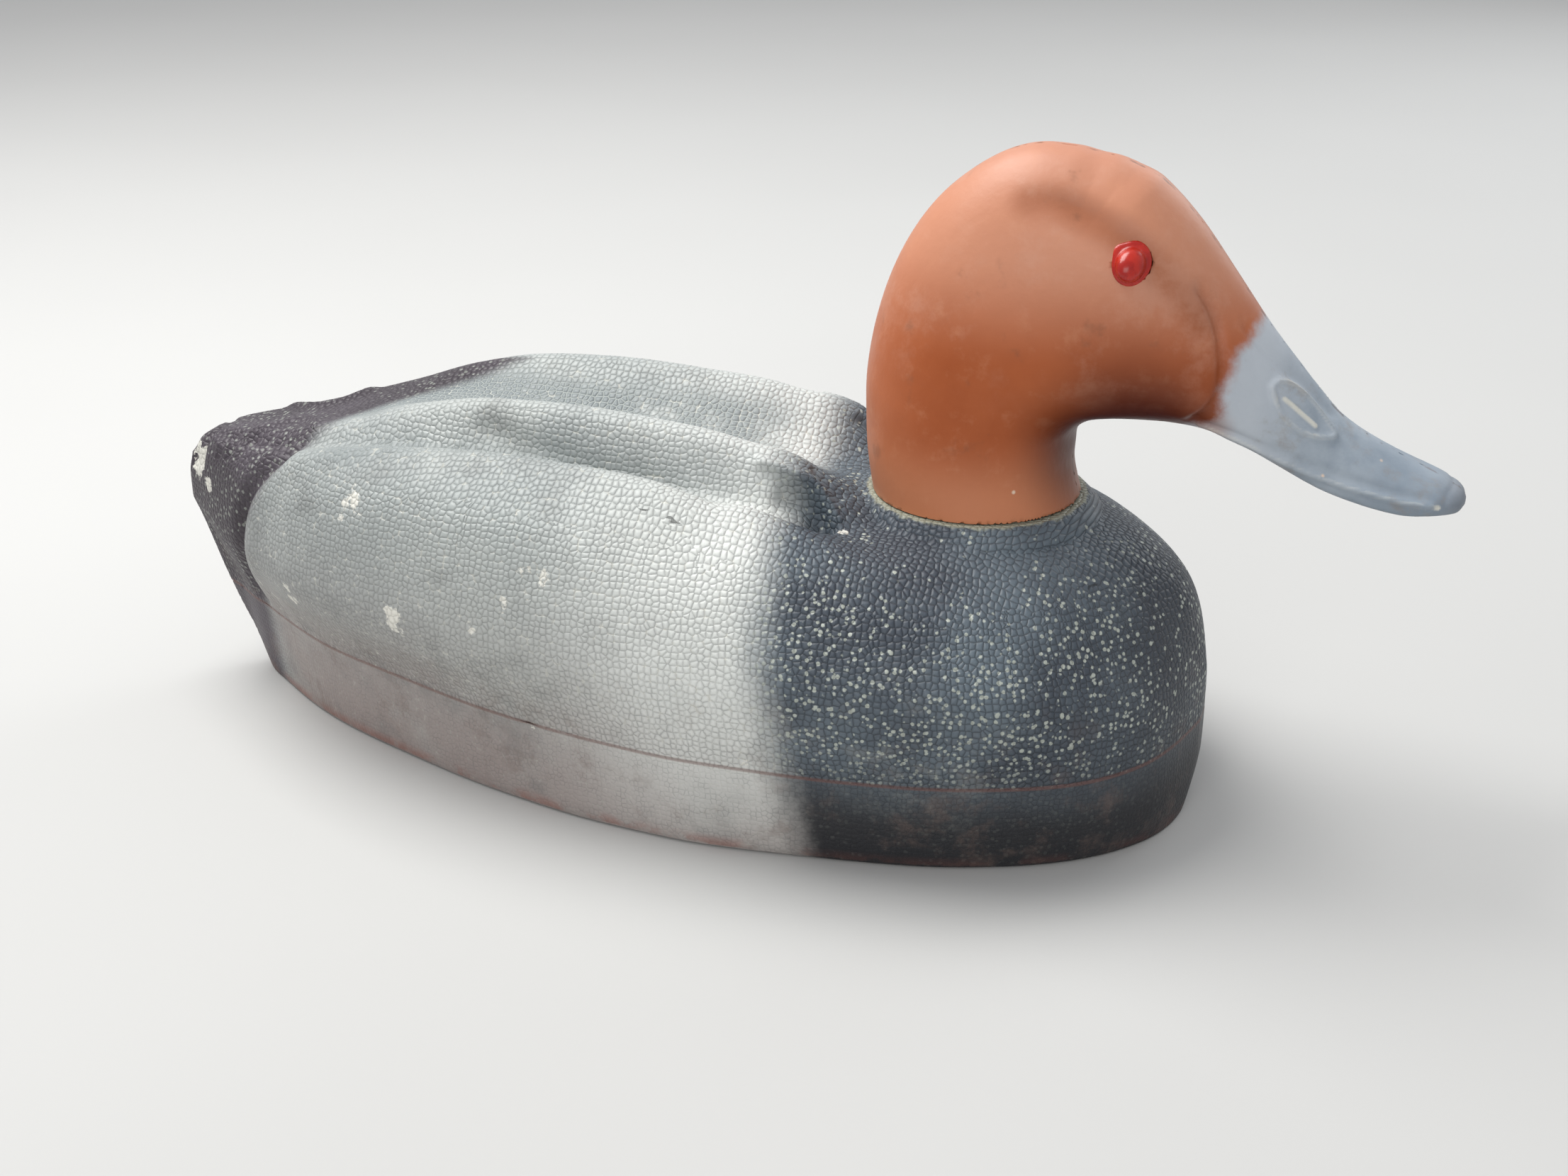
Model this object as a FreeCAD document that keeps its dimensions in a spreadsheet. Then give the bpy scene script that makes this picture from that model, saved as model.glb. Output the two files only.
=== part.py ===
import FreeCAD, Part
import math
import os

import Sketcher

# Floating duck decoy. It faces +X, its right side is -Y, and +Z is up. The origin is the centre of the
# footprint, on the surface that the decoy stands on. Everything is in millimetres.

V = FreeCAD.Vector

SIZES = {
    # foam body
    "body_length": 328.0,
    "beam": 156.0,
    "back_height": 109.0,
    "stern_x": -196.0,
    "seam_height": 28.0,
    # neck and head
    "neck_x": 63.0,
    "neck_base_z": 90.2,
    "head_height": 100.0,
    "head_wall": 3.0,
    "seat_ring_top_z": 89.8,
    "seat_ring_radius": 31.5,
    "seat_ring_flare": 4.0,
    "seat_ring_depth": 4.0,
    # eyes
    "eye_x": 106.0,
    "eye_z": 164.6,
    "eye_radius": 4.9,
    "eye_bulge": 4.2,
    "eye_seat_y": 18.6,
    "eye_stem_radius": 1.8,
    "eye_stem_length": 5.0,
    # swivel bolt and its hardware
    "bolt_radius": 3.0,
    "bolt_clearance": 0.3,
    "bolt_tip_z": 3.5,
    "bolt_head_z": 102.6,
    "bolt_head_height": 4.0,
    "bolt_head_radius": 5.8,
    "plug_bottom_z": 90.7,
    "plug_top_z": 105.6,
    "seat_radius": 27.0,
    "seat_thickness": 3.5,
    "seat_top_z": 89.6,
    "friction_outer_radius": 22.0,
    "friction_inner_radius": 9.0,
    "friction_thickness": 0.8,
    "sleeve_radius": 5.5,
    "plate_radius": 22.0,
    "plate_thickness": 2.0,
    "recess_radius": 24.0,
    "recess_depth": 20.0,
    "washer_radius": 9.0,
    "washer_thickness": 1.6,
    "washer_clearance": 0.2,
    "thrust_gap": 0.3,
    "lock_washer_radius": 5.9,
    "lock_washer_split": 1.2,
    "nut_gap": 0.1,
    "nut_radius": 6.0,
    "nut_height": 8.0,
    "nut_running_clearance": 0.05,
    "wing_reach": 16.0,
    "wing_thickness": 3.0,
    "wing_drop": 3.0,
    # ballast under its cover board
    "ballast_x": -45.0,
    "slot_length": 120.0,
    "slot_width": 28.0,
    "slot_roof_z": 16.0,
    "ballast_fit": 0.5,
    "cover_length": 156.0,
    "cover_width": 38.0,
    "cover_thickness": 5.0,
    "screw_spacing": 138.0,
    "screw_radius": 2.0,
    "screw_head_radius": 4.0,
    "screw_head_height": 2.4,
    "screw_tip_z": 20.0,
    "anchor_radius": 4.0,
    "anchor_top_z": 23.0,
    # recessed tie point for the anchor line
    "tie_x": 108.0,
    "cup_radius": 12.0,
    "cup_wall": 1.5,
    "cup_height": 13.0,
    "crossbar_radius": 1.6,
    "crossbar_length": 28.0,
    "crossbar_z": 4.6,
    # dowels across the parting line
    "dowel_radius": 4.0,
    "dowel_length": 24.0,
    "dowel_aft_x": -140.0,
    "dowel_fore_x": 110.0,
}

doc = FreeCAD.newDocument("duck_decoy")
sheet = doc.addObject("Spreadsheet::Sheet", "Sizes")
for row, (alias, value) in enumerate(SIZES.items(), start=1):
    sheet.set(f"A{row}", alias)
    sheet.set(f"B{row}", str(value))
    sheet.setAlias(f"B{row}", alias)
doc.recompute()


class Size:
    """A length that knows both its value now and the sheet expression that it is bound to."""

    def __init__(self, value, text):
        self.value = float(value)
        self.text = text

    def __add__(self, other):
        other = as_size(other)
        return Size(self.value + other.value, f"({self.text} + {other.text})")

    def __sub__(self, other):
        other = as_size(other)
        return Size(self.value - other.value, f"({self.text} - {other.text})")

    def __mul__(self, factor):
        return Size(self.value * factor, f"({self.text} * {factor})")

    def __neg__(self):
        return self * -1.0


def as_size(number):
    return number if isinstance(number, Size) else Size(number, str(float(number)))


def size(alias):
    return Size(sheet.get(alias), f"Sizes.{alias}")


def mm(alias):
    return float(sheet.get(alias))


def bind(item, prop, length):
    item.setExpression(prop, as_size(length).text)


def place(item, x=0.0, y=0.0, z=0.0):
    bind(item, "Placement.Base.x", x)
    bind(item, "Placement.Base.y", y)
    bind(item, "Placement.Base.z", z)


# ---------------------------------------------------------------- primitives and booleans


def cylinder(name, radius, height, x=0.0, y=0.0, z=0.0):
    item = doc.addObject("Part::Cylinder", name)
    bind(item, "Radius", radius)
    bind(item, "Height", height)
    place(item, x, y, z)
    return item


def cone(name, low_radius, high_radius, height, x=0.0, y=0.0, z=0.0):
    item = doc.addObject("Part::Cone", name)
    bind(item, "Radius1", low_radius)
    bind(item, "Radius2", high_radius)
    bind(item, "Height", height)
    place(item, x, y, z)
    return item


def box(name, length, width, height, x, y, z):
    """A box centred on x and y, standing on z."""
    item = doc.addObject("Part::Box", name)
    bind(item, "Length", length)
    bind(item, "Width", width)
    bind(item, "Height", height)
    place(item, as_size(x) - as_size(length) * 0.5, as_size(y) - as_size(width) * 0.5, z)
    return item


def cross_pin(name, radius, length, x, z):
    """A cylinder along Y, centred on the middle plane."""
    item = doc.addObject("Part::Cylinder", name)
    bind(item, "Radius", radius)
    bind(item, "Height", length)
    item.Placement = FreeCAD.Placement(V(0, 0, 0), FreeCAD.Rotation(V(1, 0, 0), -90))
    place(item, x, as_size(length) * -0.5, z)
    return item


def cut(name, base, *tools):
    tool = tools[0] if len(tools) == 1 else fuse(f"{name}_tools", *tools)
    item = doc.addObject("Part::Cut", name)
    item.Base = base
    item.Tool = tool
    return item


def fuse(name, *parts):
    item = doc.addObject("Part::MultiFuse", name)
    item.Shapes = list(parts)
    return item


def common(name, first, second):
    item = doc.addObject("Part::Common", name)
    item.Base = first
    item.Tool = second
    return item


def shaped(name, shape):
    item = doc.addObject("Part::Feature", name)
    item.Shape = shape
    return item


# ---------------------------------------------------------------- sketches


def origin_plane(body, role):
    return next(f for f in body.Origin.OriginFeatures if f.Role == role)


def body_with_sketch(name, role):
    body = doc.addObject("PartDesign::Body", name)
    return body, add_sketch(body, f"{name}_sketch", role)


def add_sketch(body, name, role):
    sketch = body.newObject("Sketcher::SketchObject", name)
    sketch.AttachmentSupport = [(origin_plane(body, role), "")]
    sketch.MapMode = "FlatFace"
    return sketch


def polygon(sketch, corners):
    """A closed outline whose corners are pairs of lengths, each bound to the sheet."""
    first = sketch.GeometryCount
    points = [V(as_size(a).value, as_size(b).value, 0) for a, b in corners]
    for start, end in zip(points, points[1:] + points[:1]):
        sketch.addGeometry(Part.LineSegment(start, end), False)
    count = len(corners)
    for n in range(count):
        following = first + (n + 1) % count
        sketch.addConstraint(Sketcher.Constraint("Coincident", first + n, 2, following, 1))
    for n, corner in enumerate(corners):
        for kind, length in zip(("DistanceX", "DistanceY"), corner):
            length = as_size(length)
            index = sketch.addConstraint(
                Sketcher.Constraint(kind, -1, 1, first + n, 1, length.value)
            )
            sketch.setExpression(f"Constraints[{index}]", length.text)


def turned(name, corners, x=0.0, y=0.0, z=0.0):
    """A body of revolution about its own Z axis from a half outline in its XZ plane."""
    body, sketch = body_with_sketch(name, "XZ_Plane")
    polygon(sketch, corners)
    spin = body.newObject("PartDesign::Revolution", f"{name}_turning")
    spin.Profile = sketch
    spin.ReferenceAxis = (sketch, ["V_Axis"])
    spin.Angle = 360.0
    place(body, x, y, z)
    return body


def ring(name, inner, outer, height, x=0.0, y=0.0, z=0.0):
    corners = [(inner, 0), (outer, 0), (outer, height), (inner, height)]
    return turned(name, corners, x, y, z)


# ---------------------------------------------------------------- smooth lines


def smooth_line(knots):
    """A smooth curve through hand-set (position, value) knots, which never overshoots them."""
    xs = [k[0] for k in knots]
    ys = [k[1] for k in knots]
    steps = [b - a for a, b in zip(xs, xs[1:])]
    rises = [(b - a) / step for a, b, step in zip(ys, ys[1:], steps)]
    slopes = [rises[0]]
    for n in range(1, len(rises)):
        before, after = rises[n - 1], rises[n]
        if before * after <= 0:
            slopes.append(0.0)
        else:
            w_before = 2 * steps[n] + steps[n - 1]
            w_after = steps[n] + 2 * steps[n - 1]
            slopes.append((w_before + w_after) / (w_before / before + w_after / after))
    slopes.append(rises[-1])

    def at(x):
        x = min(max(x, xs[0]), xs[-1])
        n = max(i for i in range(len(steps)) if xs[i] <= x)
        u = (x - xs[n]) / steps[n]
        low = (1 + 2 * u) * (1 - u) ** 2 * ys[n] + u * (1 - u) ** 2 * steps[n] * slopes[n]
        high = u * u * (3 - 2 * u) * ys[n + 1] + u * u * (u - 1) * steps[n] * slopes[n + 1]
        return low + high

    return at


def spline_through(points, positions):
    curve = Part.BSplineCurve()
    curve.interpolate(Points=points, Parameters=positions)
    return curve


def skin_surface(rows, stations):
    """A smooth surface through rows of points, with the same stations along every row."""
    curves = [spline_through(row, stations) for row in rows]
    poles = [curve.getPoles() for curve in curves]
    steps = [float(n) for n in range(len(rows))]
    ribs = [spline_through([row[k] for row in poles], steps) for k in range(len(poles[0]))]
    along, across = curves[0], ribs[0]
    surface = Part.BSplineSurface()
    surface.buildFromPolesMultsKnots(
        [rib.getPoles() for rib in ribs],
        along.getMultiplicities(), across.getMultiplicities(),
        along.getKnots(), across.getKnots(),
        False, False, along.Degree, across.Degree,
    )
    return surface


def skin_solid(loops, stations):
    """A solid between a left and a right skin through the loops, with a flat cap at each end."""
    middle = len(loops[0]) // 2
    rows = [[loop[n] for loop in loops] for n in range(len(loops[0]))]
    skins = [skin_surface(rows[:middle + 1], stations), skin_surface(rows[middle:], stations)]
    caps = []
    for end in (0, 1):
        rims = [skin.uIso(skin.bounds()[end]).toShape() for skin in skins]
        caps.append(Part.Face(Part.Wire(Part.__sortEdges__(rims))))
    shell = Part.makeShell([skin.toShape() for skin in skins] + caps)
    shell.sewShape()
    solid = Part.makeSolid(shell)
    if solid.Volume < 0:
        solid.reverse()
    return solid


# ---------------------------------------------------------------- foam hull

# The lines of the hull. Stations are percentages of the body length from the stern, half-breadths are
# percentages of half the beam, and heights are percentages of the back height.

KEEL_HEIGHT = [(0, 49), (0.9, 42), (2.4, 29), (4.6, 14), (8.5, -5), (98.6, -5), (99.4, 4), (100, 14)]
BOTTOM_BREADTH = [
    (0, 3), (4.9, 4), (9.5, 15), (14, 29), (20, 44), (29, 60), (40, 76), (51, 86), (60, 89),
    (69, 86), (79, 80), (87, 69), (92, 57), (96, 41), (98.2, 26), (99.4, 12), (100, 4),
]
SEAM_BREADTH = [
    (0, 5), (1.8, 6), (4.9, 11), (9.5, 21), (14, 34), (20, 49), (29, 64), (40, 80), (51, 90),
    (60, 94), (69, 93), (79, 88), (87, 78), (92, 67), (96, 50), (98.2, 33), (99.4, 16), (100, 6),
]
BELLY_BREADTH = [
    (0, 5), (1.8, 11), (4.9, 22), (9.5, 36), (14, 52), (20, 67), (29, 81), (40, 92), (51, 98),
    (60, 100), (69, 99), (79, 94), (87, 82), (92, 69), (96, 51), (98.2, 33), (99.4, 16), (100, 5),
]
BELLY_HEIGHT = [(0, 56), (1.8, 52), (6, 50), (14, 50), (60, 48), (87, 45), (96, 38), (100, 28)]
SHOULDER_BREADTH = [
    (0, 5), (1.8, 11), (4.9, 20), (9.5, 33), (14, 46), (20, 59), (29, 71), (40, 80), (51, 84),
    (60, 85), (69, 84), (79, 80), (87, 69), (92, 56), (96, 40), (98.2, 26), (99.4, 13), (100, 4),
]
SHOULDER_HEIGHT = [
    (0, 62), (1.8, 63), (4.9, 65), (14, 68), (20, 74), (29, 79), (40, 80), (51, 78), (60, 74),
    (69, 70), (79, 64), (87, 60), (92, 56), (96, 51), (98.2, 46), (99.4, 40), (100, 33),
]
FLANK_BREADTH = [
    (0, 4), (1.8, 9), (4.9, 16), (9.5, 25), (14, 34), (20, 44), (29, 52), (40, 55), (51, 57),
    (60, 58), (71, 60), (79, 58), (87, 50), (92, 40), (96, 29), (98.2, 18), (99.4, 9), (100, 3),
]
FLANK_HEIGHT = [
    (0, 65), (1.8, 69), (4.9, 72), (9.5, 75), (14, 78), (20, 83), (29, 88.5), (40, 91), (51, 90.5),
    (60, 87.5), (66, 83.5), (71, 79), (79, 75), (87, 71), (92, 66.5), (96, 59.5), (98.2, 52.5),
    (99.4, 45), (100, 36),
]
GROOVE_BREADTH = [
    (0, 3), (1.8, 7), (4.9, 12), (9.5, 20), (14, 28), (20, 36), (29, 43), (40, 45), (60, 47),
    (71, 46), (79, 43), (87, 35), (92, 27), (96, 19), (98.2, 12), (99.4, 6), (100, 2),
]
GROOVE_HEIGHT = [
    (0, 66), (1.8, 71), (4.9, 74), (9.5, 76), (14, 78.5), (20, 82.5), (29, 86.5), (40, 88),
    (51, 86.5), (60, 83.5), (66, 80), (71, 78.5), (79, 79), (87, 76.5), (92, 71.5), (96, 64.5),
    (98.2, 57), (99.4, 48), (100, 38),
]
WING_BREADTH = [
    (0, 2), (1.8, 4), (4.9, 8), (9.5, 13), (14, 18), (20, 24), (29, 28), (51, 30), (64, 32),
    (71, 32), (79, 26), (87, 19), (92, 14), (96, 10), (98.2, 6), (99.4, 3), (100, 1),
]
WING_HEIGHT = [
    (0, 66), (1.8, 72), (4.9, 76), (9.5, 79), (14, 82), (20, 87), (29, 95), (36, 99),
    (44, 100), (51, 99), (60, 96.5), (64, 94.5), (67.5, 89), (70, 81), (72, 79.5), (79, 80.5),
    (87, 79), (92, 74.5), (96, 67.5), (98.2, 60), (99.4, 49), (100, 39),
]
BACK_HEIGHT = [
    (0, 66), (1.8, 72), (4.9, 76), (9.5, 79), (14, 82), (20, 86), (26, 90), (30, 91), (38, 91),
    (46, 90), (54, 89), (61, 86), (68, 82.5), (79, 81.5), (87, 80), (92, 75.5), (96, 68.5),
    (98.2, 60.5), (99.4, 50), (100, 40),
]
SEAM_LEVEL = 0.55  # of the way from the keel to the belly
BILGE_LEVEL = 0.09
KEEL_FLAT = 0.6  # of the bottom breadth
STATION_COUNT = 36
END_CROWDING = 0.7  # how much closer the stations stand at the stern and the bow
SAMPLES_PER_LINE = 4


def hull_section(station, lines):
    """The knots of one cross-section, round the right side from the keel to the back."""
    at = {name: line(station) for name, line in lines.items()}
    depth = at["belly_z"] - at["keel_z"]
    return [
        (0.0, at["keel_z"]),
        (KEEL_FLAT * at["bottom_y"], at["keel_z"]),
        (at["bottom_y"], at["keel_z"] + BILGE_LEVEL * depth),
        (at["seam_y"], at["keel_z"] + SEAM_LEVEL * depth),
        (at["belly_y"], at["belly_z"]),
        (at["shoulder_y"], at["shoulder_z"]),
        (at["flank_y"], at["flank_z"]),
        (at["groove_y"], at["groove_z"]),
        (at["wing_y"], at["wing_z"]),
        (0.0, at["back_z"]),
    ]


def whole_loop(half, samples):
    """Points round a closed loop from the knots of its right half, mirrored for the left half."""
    knots = [(-y, z) for y, z in half] + [(y, z) for y, z in half[-2::-1]]
    across = smooth_line([(n, k[0]) for n, k in enumerate(knots)])
    upward = smooth_line([(n, k[1]) for n, k in enumerate(knots)])
    count = (len(knots) - 1) * samples
    return [(across(n / samples), upward(n / samples)) for n in range(count + 1)]


def hull_solid():
    lines = {
        "keel_z": smooth_line(KEEL_HEIGHT),
        "bottom_y": smooth_line(BOTTOM_BREADTH),
        "seam_y": smooth_line(SEAM_BREADTH),
        "belly_y": smooth_line(BELLY_BREADTH),
        "belly_z": smooth_line(BELLY_HEIGHT),
        "shoulder_y": smooth_line(SHOULDER_BREADTH),
        "shoulder_z": smooth_line(SHOULDER_HEIGHT),
        "flank_y": smooth_line(FLANK_BREADTH),
        "flank_z": smooth_line(FLANK_HEIGHT),
        "groove_y": smooth_line(GROOVE_BREADTH),
        "groove_z": smooth_line(GROOVE_HEIGHT),
        "wing_y": smooth_line(WING_BREADTH),
        "wing_z": smooth_line(WING_HEIGHT),
        "back_z": smooth_line(BACK_HEIGHT),
    }
    across = mm("beam") / 200
    upward = mm("back_height") / 100
    loops, stations = [], []
    for n in range(STATION_COUNT + 1):
        evenly = n / STATION_COUNT
        crowded_ends = (1 - math.cos(math.pi * evenly)) / 2
        station = 100 * (END_CROWDING * crowded_ends + (1 - END_CROWDING) * evenly)
        x = mm("stern_x") + mm("body_length") * station / 100
        section = whole_loop(hull_section(station, lines), SAMPLES_PER_LINE)
        loops.append([V(x, y * across, z * upward) for y, z in section])
        stations.append(x)
    return skin_solid(loops, stations)


# ---------------------------------------------------------------- head

# The head's sections from the neck over the crown and down the bill, as percentages of the head height,
# measured from the middle of the neck's foot: the outer point (x, z), the throat-side point (x, z), half
# the width, the fullness of each side (2 is an ellipse) and where the section is widest, from -1 at the
# throat side to 1 at the outer side.
HEAD_SECTIONS = [
    ((-30, 0), (29.5, 0), 29.5, 2.0, 2.0, 0.0),
    ((-32, 14), (27, 11), 29, 2.0, 2.0, 0.0),
    ((-32.5, 31), (27.5, 20), 28.5, 2.0, 2.1, 0.0),
    ((-29.5, 51), (34, 26), 28, 2.0, 2.2, 0.0),
    ((-20.5, 73.5), (41, 27), 27.5, 2.0, 2.3, -0.05),
    ((-5, 91), (47, 27), 26.5, 2.0, 2.3, -0.1),
    ((14, 99.5), (53, 27), 25.5, 2.0, 2.3, -0.15),
    ((34.5, 98.5), (59.5, 26.5), 24, 2.0, 2.3, -0.15),
    ((51.5, 88), (65, 25.5), 21.5, 1.9, 2.3, -0.2),
    ((64.5, 73), (70, 23.5), 18, 1.8, 2.4, -0.25),
    ((77, 56.5), (77, 21), 14.5, 1.8, 2.7, -0.32),
    ((89, 42.5), (87, 16.5), 12.5, 1.8, 3.1, -0.42),
    ((99, 32), (97, 12.5), 12, 1.8, 3.4, -0.48),
    ((109.5, 25.5), (108, 10), 13, 1.9, 3.4, -0.45),
    ((119.5, 21), (118, 8.8), 13.5, 1.9, 3.2, -0.35),
    ((127.5, 17.5), (126, 9), 11.5, 2.0, 2.6, -0.2),
    ((132, 14.5), (131, 9.5), 7.5, 2.0, 2.3, 0.0),
    ((133, 12.5), (132.8, 11), 2.5, 2.0, 2.0, 0.0),
]
HEAD_LOOPS_PER_SECTION = 2
HEAD_LOOP_POINTS = 28
CAVITY_LAST_SECTION = 11.0
CAVITY_FOOT_DROP = 6.0


def head_line(pick):
    return smooth_line([(n, pick(row)) for n, row in enumerate(HEAD_SECTIONS)])


def head_loop(place_along, lines, inset=0.0, drop=0.0):
    """One closed loop of the head's skin, or of a skin that lies the inset inside it."""
    scale = mm("head_height") / 100
    outer = V(lines["outer_x"](place_along), 0, lines["outer_z"](place_along)) * scale
    inner = V(lines["inner_x"](place_along), 0, lines["inner_z"](place_along)) * scale
    centre = (outer + inner) * 0.5
    half_depth = (outer - inner).Length / 2
    along = (outer - inner).normalize()
    reach = half_depth - inset
    width = lines["width"](place_along) * scale - inset
    widest = lines["widest"](place_along)
    foot = V(mm("neck_x"), 0, mm("neck_base_z") - drop)
    points = []
    for n in range(HEAD_LOOP_POINTS + 1):
        turn = 2 * math.pi * n / HEAD_LOOP_POINTS
        up, aside = math.cos(turn), math.sin(turn)
        fullness = lines["outer_fullness"] if up >= 0 else lines["inner_fullness"]
        power = 2 / fullness(place_along)
        room = (1 - widest) if up >= 0 else -(1 + widest)
        lift = widest + room * abs(up) ** power
        side = math.copysign(abs(aside) ** power, aside)
        points.append(foot + centre + along * (reach * lift) + V(0, width * side, 0))
    points[-1] = points[0]
    return points


def head_lines():
    return {
        "outer_x": head_line(lambda row: row[0][0]),
        "outer_z": head_line(lambda row: row[0][1]),
        "inner_x": head_line(lambda row: row[1][0]),
        "inner_z": head_line(lambda row: row[1][1]),
        "width": head_line(lambda row: row[2]),
        "outer_fullness": head_line(lambda row: row[3]),
        "inner_fullness": head_line(lambda row: row[4]),
        "widest": head_line(lambda row: row[5]),
    }


def head_solid(last_section, inset=0.0, foot_drop=0.0):
    """The solid inside the head's skin, or inside a skin that lies the inset within it."""
    lines = head_lines()
    loop_count = int(last_section * HEAD_LOOPS_PER_SECTION) + 1
    stations = [n / HEAD_LOOPS_PER_SECTION for n in range(loop_count)]
    loops = [head_loop(station, lines, inset) for station in stations]
    if foot_drop:
        loops.insert(0, head_loop(0, lines, inset, foot_drop))
        stations.insert(0, -foot_drop / mm("head_height"))
    return skin_solid(loops, stations)


# ---------------------------------------------------------------- the foam body


def dowel_shape(name, end):
    """A cylinder as big as one dowel, which stands across the parting line."""
    length = size("dowel_length")
    middle = size("seam_height")
    return cylinder(name, size("dowel_radius"), length, size(f"dowel_{end}_x"), 0,
                    middle - length * 0.5)


def screw_x(side):
    return size("ballast_x") + size("screw_spacing") * side


def make_foam_body():
    neck_x = size("neck_x")
    seam = size("seam_height")
    reach = size("body_length") * 1.2
    headroom = size("back_height") * 1.5
    hull = shaped("hull_skin", hull_solid())
    above = box("above_the_seam", reach, reach, headroom, 0, 0, seam)
    below = box("below_the_seam", reach, reach, seam, 0, 0, 0)

    ring_top = size("seat_ring_top_z")
    ring_depth = size("seat_ring_depth")
    ring_radius = size("seat_ring_radius")
    ring_foot_radius = ring_radius + size("seat_ring_flare")
    seat_ring = cone("seat_ring", ring_foot_radius, ring_radius, ring_depth,
                     neck_x, 0, ring_top - ring_depth)
    over_ring = cylinder("over_the_ring", ring_foot_radius, headroom, neck_x, 0, ring_top)
    seat_bottom = size("seat_top_z") - size("seat_thickness")
    cut(
        "body_upper",
        fuse("ringed_foam", common("upper_foam", hull, above), seat_ring),
        over_ring,
        cylinder("seat_recess", size("seat_radius"), headroom, neck_x, 0, seat_bottom),
        cylinder("upper_sleeve_bore", size("sleeve_radius"), headroom, neck_x, 0, 0),
        dowel_shape("upper_aft_socket", "aft"),
        dowel_shape("upper_fore_socket", "fore"),
    )

    recess_depth = size("recess_depth")
    plate_top = recess_depth + size("plate_thickness")
    ballast_x = size("ballast_x")
    cut(
        "body_lower",
        common("lower_foam", hull, below),
        cylinder("nut_recess", size("recess_radius"), recess_depth, neck_x),
        cylinder("plate_recess", size("plate_radius"), plate_top, neck_x),
        cylinder("lower_sleeve_bore", size("sleeve_radius"), headroom, neck_x),
        box("ballast_slot", size("slot_length"), size("slot_width"), size("slot_roof_z"),
            ballast_x, 0, 0),
        box("cover_rebate", size("cover_length"), size("cover_width"), size("cover_thickness"),
            ballast_x, 0, 0),
        cylinder("aft_anchor_hole", size("anchor_radius"), size("anchor_top_z"), screw_x(-0.5)),
        cylinder("fore_anchor_hole", size("anchor_radius"), size("anchor_top_z"), screw_x(0.5)),
        cylinder("cup_hole", size("cup_radius"), size("cup_height"), size("tie_x")),
        cross_pin("crossbar_hole", size("crossbar_radius"), size("crossbar_length"),
                  size("tie_x"), size("crossbar_z")),
        dowel_shape("lower_aft_socket", "aft"),
        dowel_shape("lower_fore_socket", "fore"),
    )


def make_dowels():
    fuse("alignment_dowels", dowel_shape("aft_dowel", "aft"), dowel_shape("fore_dowel", "fore"))


# ---------------------------------------------------------------- neck seat and swivel hardware


def make_neck_seat():
    bore = size("bolt_radius") + size("bolt_clearance")
    thickness = size("seat_thickness")
    ring("neck_seat", bore, size("seat_radius"), thickness, size("neck_x"), 0,
         size("seat_top_z") - thickness)
    ring("friction_washer", size("friction_inner_radius"), size("friction_outer_radius"),
         size("friction_thickness"), size("neck_x"), 0, size("seat_top_z"))


def make_bolt_sleeve():
    bore = size("bolt_radius") + size("bolt_clearance")
    foot = size("recess_depth") + size("plate_thickness")
    top = size("seat_top_z") - size("seat_thickness")
    ring("bolt_sleeve", bore, size("sleeve_radius"), top - foot, size("neck_x"), 0, foot)


def make_clamp_plate():
    bore = size("bolt_radius") + size("bolt_clearance")
    ring("clamp_plate", bore, size("plate_radius"), size("plate_thickness"), size("neck_x"), 0,
         size("recess_depth"))


def make_head_bolt():
    """A hexagon-head bolt, head up in the neck plug and thread down through the hull."""
    shank = cylinder("bolt_shank", size("bolt_radius"),
                     size("bolt_head_z") - size("bolt_tip_z"), size("neck_x"), 0,
                     size("bolt_tip_z"))
    fuse("head_bolt", shank, hexagon("bolt_hexagon", size("bolt_head_height")))


def hexagon(name, height):
    item = doc.addObject("Part::Prism", name)
    item.Polygon = 6
    bind(item, "Circumradius", size("bolt_head_radius"))
    bind(item, "Height", height)
    place(item, size("neck_x"), 0, size("bolt_head_z"))
    return item


def make_neck_plug(cavity):
    neck_x = size("neck_x")
    bottom = size("plug_bottom_z")
    slab = cylinder("plug_slab", size("seat_radius") * 2, size("plug_top_z") - bottom,
                    neck_x, 0, bottom)
    cut(
        "neck_plug",
        common("plug_blank", cavity, slab),
        cylinder("plug_bore", size("bolt_radius"), size("plug_top_z"), neck_x),
        hexagon("plug_hexagon", size("plug_top_z")),
    )


def washer_top():
    return size("recess_depth") - size("thrust_gap")


def make_washers():
    bore = size("bolt_radius") + size("washer_clearance")
    thickness = size("washer_thickness")
    flat_bottom = washer_top() - thickness
    ring("plain_washer", bore, size("washer_radius"), thickness, size("neck_x"), 0, flat_bottom)

    split_bottom = flat_bottom - thickness
    split_ring = ring("lock_washer_blank", bore, size("lock_washer_radius"), thickness,
                      size("neck_x"), 0, split_bottom)
    reach = size("lock_washer_radius")
    slot = box("lock_washer_slot", reach, size("lock_washer_split"), thickness * 2,
               size("neck_x") + reach * 0.75, 0, split_bottom - thickness * 0.5)
    cut("lock_washer", split_ring, slot)


def make_wing_nut():
    neck_x = size("neck_x")
    height = size("nut_height")
    top = washer_top() - size("washer_thickness") * 2 - size("nut_gap")
    bottom = top - height
    hub = cone("nut_hub", size("nut_radius") * 0.8, size("nut_radius"), height, neck_x, 0, bottom)
    wings = [nut_wing(name, side, bottom) for name, side in (("fore", 1.0), ("aft", -1.0))]
    bore = cylinder("nut_bore", size("bolt_radius") + size("nut_running_clearance"),
                    height * 3, neck_x, 0, bottom - height)
    cut("wing_nut", fuse("nut_blank", hub, *wings), bore)


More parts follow.
